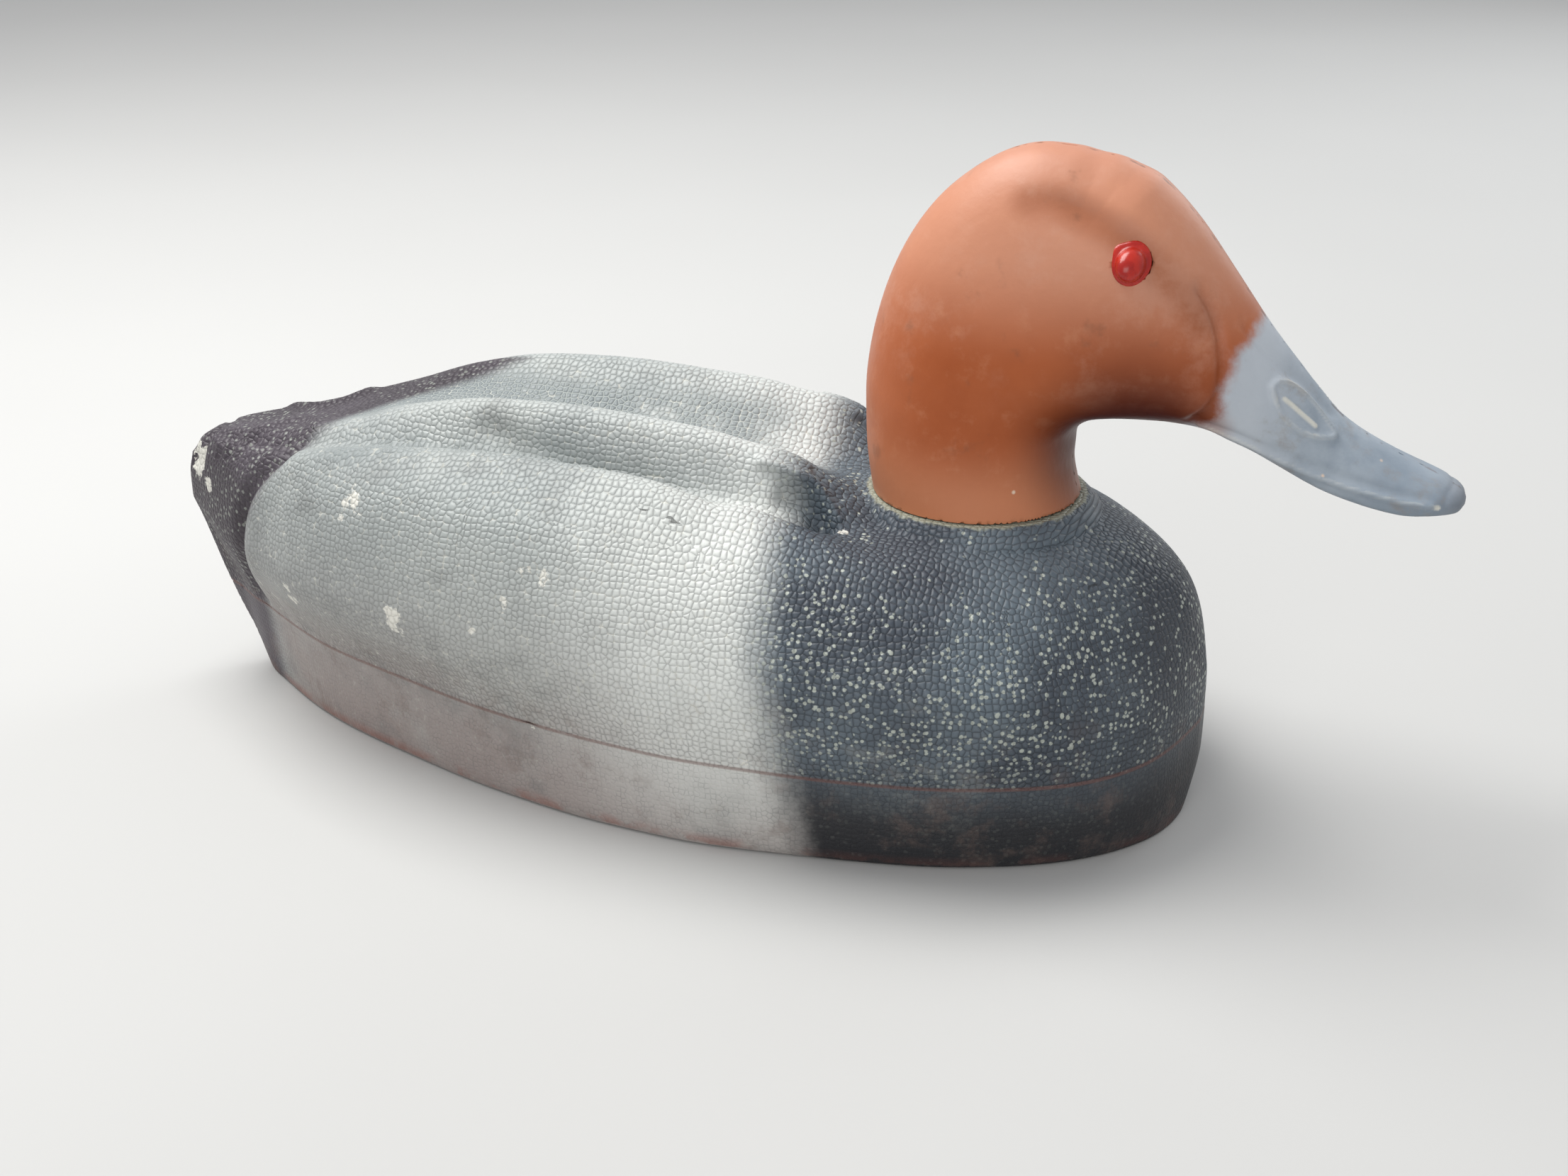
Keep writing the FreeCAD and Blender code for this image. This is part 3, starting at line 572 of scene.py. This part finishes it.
def near_any(t, spots):
    """The nearest of several round spots, each a place and a radius in mm and perhaps a strength."""
    worn = None
    for spot, radius, *strength in spots:
        one = t.near(spot, radius, 0.1)
        if strength:
            one = t.times(one, strength[0])
        worn = one if worn is None else t.math("MAXIMUM", worn, one)
    return worn


# Rubbed spots: a place and a radius in mm, and perhaps a strength. Most of those on the right side were read
# off the photo and cast on to the CAD skin. Most of those on the right side came from the same program.
# Those on the left side are invented.
RUBBED = (
    ((-110, -53.5, 84), 10),
    ((-51.6, -63, 88), 8),
    ((-45.3, -69.5, 76), 9),
    ((-54.5, -71.3, 67), 5),
    ((-64.5, -71.5, 58.7), 5),
    ((-92, -65.6, 54.6), 8),
    ((-136, -47, 48), 9),
    ((-50.6, -66, 26), 4.5),
    ((17.5, -74.2, 31.5), 4),
    ((-193, -9, 72), 11, 2.2),
    ((-184, -14, 66), 6, 1.2),
    ((34, -36, 87), 5),
    ((-75, 50, 92), 9),
    ((20, 66, 70), 7),
    ((-120, 55, 66), 8),
    ((60, 68, 40), 6),
)


THIN_PAINT = (((72, -70, 42), 40), ((112, -32, 84), 30), ((118, 20, 60), 36))
SEAM_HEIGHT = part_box("body_lower")[1].z
NECK_PLACE = (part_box("neck_seat")[0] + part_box("neck_seat")[1]) / 2


class FoamNodes(Nodes):
    """The nodes that all parts of the foam's paint share."""

    def __init__(self, name, upper):
        super().__init__(name)
        self.upper = upper
        self.x, self.y, self.z = self.axes(self.place)[:3]
        self.aside = self.math("ABSOLUTE", self.y)
        self.bead, self.gap = beads(self, 530.0 if upper else 620.0)
        self.rim = self.ramp(self.gap, 0.14, 0.03)
        self.wide = self.noise(22, 4)
        self.patch = self.noise(55, 5, 0.6)
        self.fine = self.noise(700, 3, 0.6)
        self.grit = self.noise(260, 4, 0.65)


def breast_zone(t):
    """1 on the dark breast and 0 behind its edge, which leans with height."""
    lean = t.times(t.minus(t.z, SEAM_HEIGHT), 0.17)
    front = t.plus(t.x, t.swing(t.noise(30, 2), 0.010), lean, t.swing(t.grit, 0.006))
    return t.ramp(front, 0.019, 0.036)


def tail_and_ridge_shade_zone(t):
    """1 on the dark tail and 0 ahead of its edge, which runs further forward over the left ridge as painted
    shade on that ridge's slope.
    """
    ridge = 0.02
    right_side = t.times(t.math("MINIMUM", t.y, 0.0), 0.7)
    # Painted shade: the dark edge runs forward over the left ridge's slope, which lies in shade.
    left_ridge_shade = t.times(t.math("MINIMUM", t.math("MAXIMUM", t.y, 0.0), ridge), 1.75)
    left_edge = t.times(t.math("MAXIMUM", t.minus(t.y, ridge), 0.0), -3.0)
    below = t.math("MINIMUM", t.math("MAXIMUM", t.minus(0.084, t.z), 0.0), 0.05)
    tail_line = t.minus(t.plus(right_side, left_ridge_shade, left_edge, t.times(below, -0.62)), 0.122)
    rear = t.plus(t.minus(t.x, tail_line), t.swing(t.grit, 0.006))
    return t.ramp(rear, 0.008, -0.006)


def grey_paint_and_highlight(t):
    """The flanks and back, brightest on the side ahead of the middle, with a painted highlight along the top
    of the crests.
    """
    grey = t.mix(t.ramp(t.z, 0.0, 0.09), srgb(150, 139, 135), srgb(166, 172, 170))
    bright = t.times(t.ramp(t.x, -0.06, 0.006), t.ramp(t.z, -0.03, 0.06))
    grey = t.mix(t.times(bright, 0.9), grey, srgb(226, 229, 225))
    rump = t.times(t.ramp(t.x, -0.05, -0.16), t.ramp(t.z, 0.03, 0.06), 0.35)
    grey = t.mix(rump, grey, srgb(116, 120, 122))
    grey = t.mix(t.times(t.ramp(t.z, 0.086, 0.1), 0.4), grey, srgb(146, 152, 153))
    # Painted highlight: lighter along the top of the crests, where the lamp from above falls.
    crest_highlight = t.times(t.ramp(t.z, 0.088, 0.101), t.ramp(t.wide, 0.3, 0.6), 0.3)
    grey = t.mix(crest_highlight, grey, srgb(210, 214, 210))
    grey = t.mix(t.times(t.ramp(t.wide, 0.45, 0.7), 0.4), grey, srgb(186, 190, 186))
    stain = t.times(t.ramp(t.patch, 0.5, 0.7), t.math("MULTIPLY_ADD", bright, -0.36, 0.4))
    return t.mix(stain, grey, srgb(112, 113, 112))


def darken_hollows(t, grey):
    """Between the wings the beads are dark and their joints pale; elsewhere the joints get painted shade."""
    valley = t.times(t.ramp(t.aside, 0.024, 0.011), t.ramp(t.z, 0.108, 0.101))
    from_groove = t.math("ABSOLUTE", t.minus(t.aside, 0.037))
    groove = t.times(t.ramp(from_groove, 0.010, 0.003), t.ramp(t.z, 0.088, 0.094), 0.55)
    hollow = t.times(t.math("MAXIMUM", valley, groove), t.ramp(t.x, 0.012, -0.01))
    hollow = t.times(hollow, t.ramp(t.patch, 0.25, 0.5))
    grey = t.mix(t.times(hollow, 0.72), grey, srgb(98, 108, 112))
    grey = t.mix(t.times(hollow, t.rim, 0.7), grey, srgb(196, 202, 198))
    # Painted shade in the joints between the beads, outside the hollows.
    shade = t.times(t.rim, t.minus(1.0, hollow), t.ramp(t.grit, 0.4, 0.6), 0.24)
    return t.mix(shade, grey, srgb(88, 92, 94))


def breast_paint_and_light(t):
    # The blue-grey of the breast is lightened, partly as painted sheen on its dark paint.
    breast = t.mix(t.ramp(t.wide, 0.35, 0.68), srgb(62, 70, 80), srgb(98, 110, 119))
    # Painted shade: darker at the very front, which faces away from the lamps.
    breast = t.mix(t.times(t.ramp(t.x, 0.10, 0.13), 0.5), breast, srgb(48, 50, 56))
    breast = t.mix(t.times(t.ramp(t.z, 0.040, 0.012), 0.95), breast, srgb(33, 32, 35))
    # Painted shade in the joints between the beads.
    breast = t.mix(t.times(t.rim, 0.4), breast, srgb(32, 34, 40))
    cloud = t.times(t.ramp(t.noise(60, 6, 0.72), 0.5, 0.72), t.near((66, -70, 38), 34, 0.1))
    return t.mix(t.times(cloud, 0.6), breast, srgb(150, 152, 148))


def missed_beads(t, is_breast, is_tail_and_ridge_shade):
    """How much of a pale bead shows where the dark paint missed it."""
    thin = t.plus(t.noise(16, 2), t.times(near_any(t, THIN_PAINT), 0.16))
    dots = t.dots(540.0)
    density = t.math("MULTIPLY_ADD", t.minus(thin, 0.5), 3.4, 0.46)
    density = t.plus(density, t.swing(t.noise(110, 2), 1.6))
    picked = t.minus(t.axes(dots["Color"])[0], density)
    ragged_dot = t.plus(dots["Distance"], t.swing(t.fine, 0.5))
    missed = t.times(t.ramp(ragged_dot, 0.37, 0.25), t.ramp(picked, 0.04, -0.04))
    above_seam = t.math("MULTIPLY_ADD", t.ramp(t.z, 0.026, 0.044), 0.6, 0.4)
    dark = t.math("MAXIMUM", is_breast, t.times(is_tail_and_ridge_shade, 0.5))
    return t.times(missed, above_seam, dark, 0.85 if t.upper else 0.12)


def add_wear_and_reflection(t, colour, dark_paint_and_shade):
    """Dirt low down, the bottom edge with rubbed paint and a painted reddish reflection, the line of the seam
    and the rubbed spots.
    """
    dirt = t.times(t.ramp(t.noise(70, 6, 0.7), 0.5, 0.7), t.ramp(t.z, 0.07, 0.01), 0.4)
    colour = t.mix(dirt, colour, srgb(110, 92, 84))
    # A reddish band along the bottom edge: partly rubbed paint, partly a painted reflection of a red cloth
    # beneath.
    low_edge_wear_and_reflection = t.times(t.ramp(t.z, 0.005, 0.001), t.ramp(t.patch, 0.42, 0.55))
    low_edge_wear_and_reflection = t.times(low_edge_wear_and_reflection, t.math("MULTIPLY_ADD", dark_paint_and_shade, -0.35, 0.5))
    low_edge_wear_and_reflection = t.times(low_edge_wear_and_reflection, t.ramp(t.stored("level"), 0.85, 0.5))
    colour = t.mix(low_edge_wear_and_reflection, colour, srgb(150, 92, 78))
    from_seam = t.math("ABSOLUTE", t.minus(t.z, SEAM_HEIGHT))
    seam = t.times(t.ramp(from_seam, 0.0009, 0.0003), t.ramp(t.patch, 0.24, 0.38), 0.55)
    colour = t.mix(seam, colour, srgb(110, 70, 60))
    worn = near_any(t, RUBBED)
    ragged = t.plus(t.noise(190, 5, 0.7), t.times(worn, 0.26))
    bare = t.times(t.ramp(ragged, 0.71, 0.77), t.ramp(worn, 0.02, 0.2), 0.85)
    return t.mix(bare, colour, srgb(228, 226, 216))


def add_neck_ring(t, colour):
    """The bare bevelled ring round the neck."""
    away = t.vector("SUBTRACT", t.place, (NECK_PLACE.x, 0, 0))
    from_neck = t.vector("LENGTH", t.vector("MULTIPLY", away, (1, 1, 0)))
    from_neck = t.plus(from_neck, t.swing(t.grit, 0.003))
    ring = t.times(t.ramp(from_neck, 0.0320, 0.0311), t.ramp(t.z, 0.080, 0.084), 0.8)
    return t.mix(ring, colour, srgb(168, 170, 150))


def foam_relief(t):
    """Beads that stand up between their joints, over finer grit and wide dents."""
    hollow_side = t.minus(1.0, t.math("MINIMUM", t.times(t.gap, 2.5), 1.0))
    dome = t.minus(1.0, t.times(hollow_side, hollow_side))
    dome = t.minus(dome, t.times(t.bead, t.bead, 1.1))
    relief = t.plus(dome, t.times(t.grit, 0.4))
    normal = t.bump(relief, 0.0003 if t.upper else 0.00009, 0.9)
    normal = t.bump(t.fine, 0.00004, 0.8, normal)
    return t.bump(t.noise(95, 3), 0.0006, 0.6, normal)


def foam_material(name, upper):
    t = FoamNodes(name, upper)
    is_breast = breast_zone(t)
    is_tail_and_ridge_shade = tail_and_ridge_shade_zone(t)
    # This mask holds the dark breast and tail paint and the painted shade on the left ridge.
    dark_paint_and_shade = t.math("MAXIMUM", is_breast, is_tail_and_ridge_shade)
    tail = t.mix(t.ramp(t.wide, 0.4, 0.65), srgb(58, 51, 58), srgb(78, 71, 79))
    colour = t.mix(is_breast, darken_hollows(t, grey_paint_and_highlight(t)), breast_paint_and_light(t))
    colour = t.mix(is_tail_and_ridge_shade, colour, tail)
    colour = t.mix(missed_beads(t, is_breast, is_tail_and_ridge_shade), colour, srgb(180, 186, 176))
    joint = t.times(t.ramp(t.bead, 0.56, 0.68), t.ramp(t.noise(300, 1), 0.5, 0.6))
    pale_joint = t.times(joint, t.minus(1.0, dark_paint_and_shade), 0.5 if upper else 0.15)
    colour = t.mix(pale_joint, colour, srgb(226, 226, 216))
    colour = add_wear_and_reflection(t, colour, dark_paint_and_shade)
    if upper:
        colour = add_neck_ring(t, colour)
    roughness = t.math("MULTIPLY_ADD", t.patch, 0.24, 0.36)
    return t.finish(colour, roughness, foam_relief(t), Specular_IOR_Level=0.45)


def make_hull():
    upper = dense_copy("foam_upper", "body_upper", 1.3 * MM)
    press(upper, hull_channels())
    press(upper, [chips], mirrored=False)
    lower = dense_copy("foam_lower", "body_lower", 1.2 * MM)
    press(lower, [chips], mirrored=False)
    wrap_foam(upper.data)
    wrap_foam(lower.data)
    for piece, node, is_upper in ((upper, "body_upper", True), (lower, "body_lower", False)):
        piece.data.materials.append(foam_material("sprayed_" + node, is_upper))
        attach(piece, "hull")
        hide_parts(node)
        print(piece.name, len(piece.data.polygons), "quads")


# The head

# These are in mm on the right side too. BROW, CHEEK, NOSTRIL, SLIT and CULMEN are within 1.5 mm of that other
# program's output all along, and LIP and NAIL in part.
BROW = [
    (72, -14.5, 181), (79.5, -15, 182.6), (87, -15, 182.3), (95.5, -16, 179.7),
    (102, -17, 176.8), (108.5, -17.3, 172.3), (115, -17, 166.4), (121.3, -15.8, 160.3),
    (125.6, -15, 155.1), (128.7, -15.2, 149.2),
]
CHEEK = [
    *BROW[-3:],
    (130.1, -16.1, 143.3), (131, -17.2, 137.3), (130.7, -18.2, 130.5), (127.5, -17.9, 125.1),
    (122, -14, 120.5),
]
NOSTRIL = [
    (143.7, -11.1, 131.7), (144.8, -9.7, 132.9), (148, -8, 132.5), (152, -6.8, 129.8),
    (156.3, -6.5, 125.5), (160.6, -7.4, 120.1), (159.7, -8.9, 118.8), (154.5, -10.8, 119.5),
    (149.5, -11.7, 122.1), (145.7, -12, 126.5), (143.7, -11.1, 131.7),
]
SLIT = [(147.2, -10.4, 128.7), (151.4, -9.7, 125.3), (155.8, -9.1, 121.7)]
CULMEN = [
    (133, -9.1, 150.5), (136.5, -9, 144.9), (143.8, -7.4, 136.9), (151.7, -4.6, 131.4),
    (157, -3.8, 126), (161.9, -3.9, 121.3),
]
LIP = [
    (124, -15, 120), (133.8, -14, 116.4), (140.8, -13, 113.8), (151.5, -12.5, 109.9),
    (162, -12.5, 106.7), (174.3, -13, 104.5), (182.4, -12.5, 103.2), (189, -11, 102.6),
]
NAIL = [(190.5, -11, 102.4), (190.7, -8, 105), (191.7, -4, 105.8), (192, 0, 106)]


CROWN_FRONT = [(86, -4, 188.5), (94, -4, 187), (101, -4, 183.5), (107, -4, 178.5)]
HEAD_CORE = [(63, 0, 80), (63, 0, 115), (86, 0, 152), (125, 0, 137), (188, 0, 104)]


def head_channels():
    shapes = [
        (moved(BROW[:8], -1, 0, -5.5), 3.6, 1.7, 0.35),
        (moved(BROW[4:], 1.5, 0, 2), 3.0, -0.4, 0.35),
        (CHEEK, 1.7, 1.4, 0.1),
        (moved(CHEEK[2:], -4), 3.5, -0.7, 0.2),
        (NOSTRIL, 0.9, -1.0, 0),
        (SLIT, 2.6, 0.45, 0),
        (SLIT, 0.7, -0.7, 0),
        (CULMEN, 1.8, 0.7, 0.12),
        (moved(LIP, 0, 0, 0.6), 0.9, -1.0, 0.03),
        (moved(LIP, 0, 0, 3), 1.4, 0.5, 0.08),
        (NAIL, 0.9, 0.25, 0.1),
    ]
    return [channel("head_right", *shape) for shape in shapes]


def line_mask(mesh, name, lines, width):
    """Stores on each vertex how near it is to any of the lines, 1 on a line and 0 beyond the width."""
    points = points_of(mesh) / MM
    points[:, 1] = -np.abs(points[:, 1])
    nearest = np.full(len(points), 1e9)
    for line in lines:
        gap, _ = line_distance(points, on_skin("head_right", line))
        nearest = np.minimum(nearest, gap)
    layer = mesh.attributes.new(name, "FLOAT", "POINT")
    layer.data.foreach_set("value", np.clip(1 - nearest / width, 0, 1).astype(np.float32))


# The bill's paint edge seen from the side, as x and z in mm, started from the same program's output
BILL_EDGE = [
    (146, 170), (145, 160), (140.5, 152.5), (137.6, 147), (135.8, 143.7), (133.3, 141),
    (132.6, 136), (131.4, 133), (130.4, 130), (131.2, 126), (129, 122), (122, 119.5), (118, 112),
]


def bill_mask(mesh, name):
    """Stores on each vertex the distance past the bill's paint edge, in mm, forward being positive."""
    points = points_of(mesh) / MM
    edge = np.array(curve_through([(x, 0, z) for x, z in BILL_EDGE]))
    flat = points * [1, 0, 1]
    gap, _ = line_distance(flat, edge)
    order = np.argsort(edge[:, 2])
    edge_x = np.interp(points[:, 2], edge[order, 2], edge[order, 0])
    signed = np.where(points[:, 0] > edge_x, gap, -gap)
    layer = mesh.attributes.new(name, "FLOAT", "POINT")
    layer.data.foreach_set("value", signed.astype(np.float32))


def brown_paint_and_light(t, z, x, mottle):
    brown = t.mix(t.ramp(t.noise(28, 4), 0.3, 0.7), srgb(160, 78, 34), srgb(176, 92, 48))
    # Painted light: lighter on the upper head and at the back of the head, where the lamp from above and
    # behind falls.
    brown = t.mix(t.times(t.ramp(z, 0.134, 0.166), 0.72), brown, srgb(206, 148, 120))
    brown = t.mix(t.times(t.ramp(z, 0.176, 0.190), 0.5), brown, srgb(190, 136, 114))
    brown = t.mix(t.times(t.ramp(x, 0.062, 0.030), 0.35), brown, srgb(192, 124, 90))
    brown = t.mix(t.times(t.ramp(z, 0.116, 0.094), 0.7), brown, srgb(204, 136, 100))
    brown = t.mix(t.times(t.ramp(mottle, 0.52, 0.75), 0.28), brown, srgb(204, 142, 108))
    # Darker under the cheek and throat: partly darker sprayed paint, partly painted shade.
    under = t.times(t.near((108, 0, 116), 44, 0.4), 0.95)
    brown = t.mix(under, brown, srgb(62, 8, 1))
    # Painted shade just inside the brow line.
    brow_shade = t.ramp(t.stored("brow_shade"), 0.1, 0.9)
    brown = t.mix(t.times(brow_shade, 0.7), brown, srgb(148, 84, 52))
    haze = t.times(t.ramp(t.noise(46, 6, 0.7), 0.46, 0.66), t.ramp(z, 0.118, 0.15))
    brown = t.mix(t.times(haze, 0.26), brown, srgb(206, 158, 136))
    smudge = t.times(t.ramp(t.noise(75, 4), 0.6, 0.7), t.ramp(mottle, 0.42, 0.55))
    return t.mix(t.times(smudge, 0.3), brown, srgb(106, 72, 54))


def bill_paint(t, x):
    blue = t.mix(t.ramp(t.noise(60, 5, 0.6), 0.35, 0.65), srgb(134, 146, 158), srgb(160, 170, 180))
    blue = t.mix(t.times(t.ramp(x, 0.156, 0.138), 0.75), blue, srgb(192, 198, 205))
    blue = t.mix(t.times(t.ramp(x, 0.160, 0.180), 0.5), blue, srgb(116, 130, 144))
    blue = t.mix(t.times(t.ramp(x, 0.186, 0.196), 0.5), blue, srgb(104, 104, 108))
    grime = t.ramp(t.noise(90, 5, 0.7), 0.52, 0.7)
    return t.mix(t.times(grime, 0.45), blue, srgb(140, 132, 124))


def add_head_marks(t, colour, is_bill, y):
    """The bill's rubbed corner and ridges, pale flecks, and dirt in the mould seam."""
    corner = t.times(t.near((128, -15, 120.5), 9, 0.2), 0.6)
    colour = t.mix(t.times(corner, is_bill), colour, srgb(150, 104, 86))
    worn_line = t.times(t.ramp(t.stored("ridges"), 0.3, 0.8), t.ramp(t.noise(260, 3), 0.26, 0.48))
    colour = t.mix(t.times(worn_line, is_bill, 0.8), colour, srgb(220, 218, 206))
    fleck = t.ramp(t.dots(110.0)["Distance"], 0.09, 0.04)
    colour = t.mix(t.times(fleck, t.ramp(t.noise(34, 2), 0.54, 0.6)), colour, srgb(226, 200, 176))
    seam = t.times(t.ramp(t.math("ABSOLUTE", y), 0.0011, 0.0003), t.ramp(t.noise(150, 4), 0.5, 0.6))
    return t.mix(t.times(seam, 0.55), colour, srgb(84, 58, 44))


def head_material(name):
    t = Nodes(name)
    x, y, z = t.axes(t.place)[:3]
    mottle = t.noise(120, 6, 0.65)
    overspray = t.swing(t.noise(330, 4, 0.65), 3.4)
    is_bill = t.ramp(t.plus(t.stored("bill"), overspray), -1.6, 3.2)
    colour = t.mix(is_bill, brown_paint_and_light(t, z, x, mottle), bill_paint(t, x))
    colour = add_head_marks(t, colour, is_bill, y)
    normal = t.bump(t.noise(240, 4, 0.6), 0.00012, 0.7)
    normal = t.bump(t.noise(420, 3, 0.6), 0.00005, 0.8, normal)
    brown_gloss = t.math("MULTIPLY_ADD", mottle, 0.16, 0.34)
    blue_gloss = t.math("MULTIPLY_ADD", mottle, 0.2, 0.44)
    roughness = t.value_mix(is_bill, brown_gloss, blue_gloss)
    return t.finish(colour, roughness, normal, Specular_IOR_Level=0.32)


def make_head():
    material = head_material("painted_head")
    shells = {}
    for side in ("left", "right"):
        piece = dense_copy("head_shell_" + side, "head_" + side, 0.75 * MM)
        push(piece, CROWN_FRONT, 10, (-0.5, 0, -1.2))
        press(piece, head_channels(), core=HEAD_CORE)
        line_mask(piece.data, "ridges", [NOSTRIL, SLIT, moved(LIP, 0, 0, 0.6)], 1.5)
        # This mask marks where painted shade darkens the head just inside the brow line.
        line_mask(piece.data, "brow_shade", [moved(BROW[1:9], -2, 0, -6)], 9)
        bill_mask(piece.data, "bill")
        piece.data.materials.append(material)
        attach(piece, "head")
        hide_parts("head_" + side)
        shells[side] = piece
        print(piece.name, len(piece.data.polygons), "quads")
    return shells


# Eyes, hardware and other carried-over nodes

# reach from the eye's axis and height off the skin, in mm, from the flange to the top of the ball
EYE_PROFILE = [
    (5.25, -0.9),
    (5.25, 0.0),
    (5.1, 0.45),
    (4.75, 0.7),
    (4.15, 0.9),
    (3.95, 1.5),
    (3.8, 2.4),
    (3.45, 3.4),
    (2.8, 4.25),
    (1.9, 4.85),
    (0.9, 5.15),
    (0.0, 5.25),
]
EYE_SKIN_OUT = 21.3  # mm from the centre plane to the skin under the eye's middle
SKIN_RING = 6.6  # mm, the radius of the ring where the skin round an eye is measured


def skin_tilt(skin, centre, outward):
    """How the head's skin stands round an eye: its y in mm as a level, a slope and a bow across and up."""
    rows, heights = [], []
    for k in range(24):
        across = SKIN_RING * math.cos(k * math.pi / 12)
        up = SKIN_RING * math.sin(k * math.pi / 12)
        start = Vector((centre.x + across * MM, outward * 0.05, centre.z + up * MM))
        found = skin.ray_cast(start, Vector((0, -outward, 0)))[0]
        rows.append((1, across, up, across * across, up * up))
        heights.append(found.y / MM)
    rows.append((1, 0, 0, 0, 0))
    heights.append(outward * EYE_SKIN_OUT)
    return np.linalg.lstsq(np.array(rows), np.array(heights), rcond=None)[0]


def make_eyes(shells):
    """Each eye is a ball on a flange that follows the head's skin, with a small corner at the back."""
    material = eye_material()
    for side, outward in (("right", -1), ("left", 1)):
        low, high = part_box("eye_" + side)
        centre = (low + high) / 2
        head = shells[side].data
        skin = BVHTree.FromPolygons([v.co for v in head.vertices], [p.vertices for p in head.polygons])
        tilt = skin_tilt(skin, centre, outward)
        shape = bmesh.new()
        spokes = 56
        loops = []
        for reach, rise in EYE_PROFILE:
            loop = []
            for k in range(spokes):
                turn = 2 * math.pi * k / spokes
                corner = 1.1 * math.exp(-(((turn - 2.5) / 0.32) ** 2)) * smooth(4.2, 5.4, reach)
                across = (reach + corner) * math.cos(turn) * 0.95
                up = (reach + corner) * math.sin(turn) * 1.05
                base = np.dot(tilt, (1, across, up, across * across, up * up))
                side_on = (base + outward * rise) * MM
                loop.append(shape.verts.new((centre.x + across * MM, side_on, centre.z + up * MM)))
            loops.append(loop)
        for inner, outer in zip(loops, loops[1:]):
            for k in range(spokes):
                shape.faces.new((inner[k], inner[k - 1], outer[k - 1], outer[k]))
        shape.faces.new(loops[0])
        bmesh.ops.remove_doubles(shape, verts=loops[-1], dist=1e-5)
        bmesh.ops.recalc_face_normals(shape, faces=shape.faces)
        mesh = bpy.data.meshes.new("eye_dome_" + side)
        shape.to_mesh(mesh)
        shape.free()
        for polygon in mesh.polygons:
            polygon.use_smooth = True
        mesh.materials.append(material)
        piece = bpy.data.objects.new("eye_dome_" + side, mesh)
        bpy.context.scene.collection.objects.link(piece)
        smoothing = piece.modifiers.new("smoothing", "SUBSURF")
        smoothing.levels = smoothing.render_levels = 1
        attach(piece, "head")
        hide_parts("eye_" + side)


def eye_material():
    t = Nodes("eye_red")
    wide = t.noise(260, 3)
    colour = t.mix(t.ramp(wide, 0.35, 0.7), srgb(158, 18, 7), srgb(184, 36, 18))
    normal = t.bump(t.noise(500, 2), 0.00003, 0.6)
    roughness = t.math("MULTIPLY_ADD", wide, 0.1, 0.22)
    return t.finish(colour, roughness, normal, Specular_IOR_Level=0.4, Coat_Weight=0.25, Coat_Roughness=0.16)


def metal_material(name, base, shade, gloss, relief):
    t = Nodes(name)
    wide = t.noise(180, 4)
    colour = t.mix(t.ramp(wide, 0.35, 0.7), srgb(*base), srgb(*shade))
    normal = t.bump(t.noise(700, 3), relief, 0.8)
    roughness = t.math("MULTIPLY_ADD", wide, 0.25, gloss)
    return t.finish(colour, roughness, normal, Metallic=1.0)


def plain_material(name, base, shade, gloss, relief, grain=400.0):
    t = Nodes(name)
    wide = t.noise(90, 4)
    colour = t.mix(t.ramp(wide, 0.35, 0.7), srgb(*base), srgb(*shade))
    normal = t.bump(t.noise(grain, 3), relief, 0.8)
    roughness = t.math("MULTIPLY_ADD", wide, 0.2, gloss)
    return t.finish(colour, roughness, normal)


def wood_material():
    t = Nodes("dowel_wood")
    stretched = t.vector("MULTIPLY", t.place, (260, 260, 30))
    grain = t.node_with("ShaderNodeTexNoise", Vector=stretched, Scale=1.0, Detail=4.0).outputs["Fac"]
    colour = t.mix(t.ramp(grain, 0.35, 0.7), srgb(186, 150, 104), srgb(214, 184, 140))
    return t.finish(colour, 0.6, t.bump(grain, 0.0001, 0.7))


def paint_node(name, material):
    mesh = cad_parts[name].data
    mesh.materials.clear()
    mesh.materials.append(material)


def paint_hardware():
    steel = metal_material("zinc_steel", (168, 168, 164), (122, 120, 112), 0.28, 0.00005)
    iron = metal_material("cast_iron", (84, 80, 76), (58, 50, 46), 0.45, 0.0002)
    black = plain_material("black_plastic", (38, 38, 40), (52, 50, 50), 0.38, 0.00006)
    rubber = plain_material("black_rubber", (30, 30, 31), (42, 40, 40), 0.6, 0.0001)
    bare_foam = plain_material("bare_seat", (186, 186, 172), (148, 148, 136), 0.6, 0.0003, 320.0)
    hidden = plain_material("inner_plastic", (120, 118, 112), (98, 96, 92), 0.45, 0.00006)
    fasteners = ("head_bolt", "plain_washer", "lock_washer", "wing_nut", "cover_screws")
    for name in (*fasteners, "line_crossbar", "clamp_plate"):
        paint_node(name, steel)
    for name in ("ballast_cover", "line_cup"):
        paint_node(name, black)
    for name in ("screw_anchors", "bolt_sleeve", "neck_plug"):
        paint_node(name, hidden)
    paint_node("friction_washer", rubber)
    paint_node("neck_seat", bare_foam)
    paint_node("ballast_bar", iron)
    paint_node("alignment_dowels", wood_material())


FLOOR_DROP = 0.0006  # metres, so that the flat bottom and the floor don't share a plane


def make_floor():
    mesh = bpy.data.meshes.new("floor")
    shape = bmesh.new()
    bmesh.ops.create_grid(shape, x_segments=8, y_segments=8, size=3.0)
    shape.to_mesh(mesh)
    shape.free()
    floor = bpy.data.objects.new("floor", mesh)
    floor.location.z = -FLOOR_DROP
    bpy.context.scene.collection.objects.link(floor)
    t = Nodes("floor_paper")
    colour = t.mix(t.noise(3, 2), (0.52, 0.52, 0.51), (0.56, 0.56, 0.55))
    mesh.materials.append(t.finish(colour, 0.8, t.bump(t.noise(300, 2), 0.0001, 0.3)))


def set_world():
    world = bpy.data.worlds.new("studio")
    world.use_nodes = True
    background = world.node_tree.nodes["Background"]
    background.inputs["Color"].default_value = (0.96, 0.97, 1.0, 1)
    background.inputs["Strength"].default_value = 0.55
    bpy.context.scene.world = world


make_floor()
set_world()
make_hull()
make_eyes(make_head())
paint_hardware()
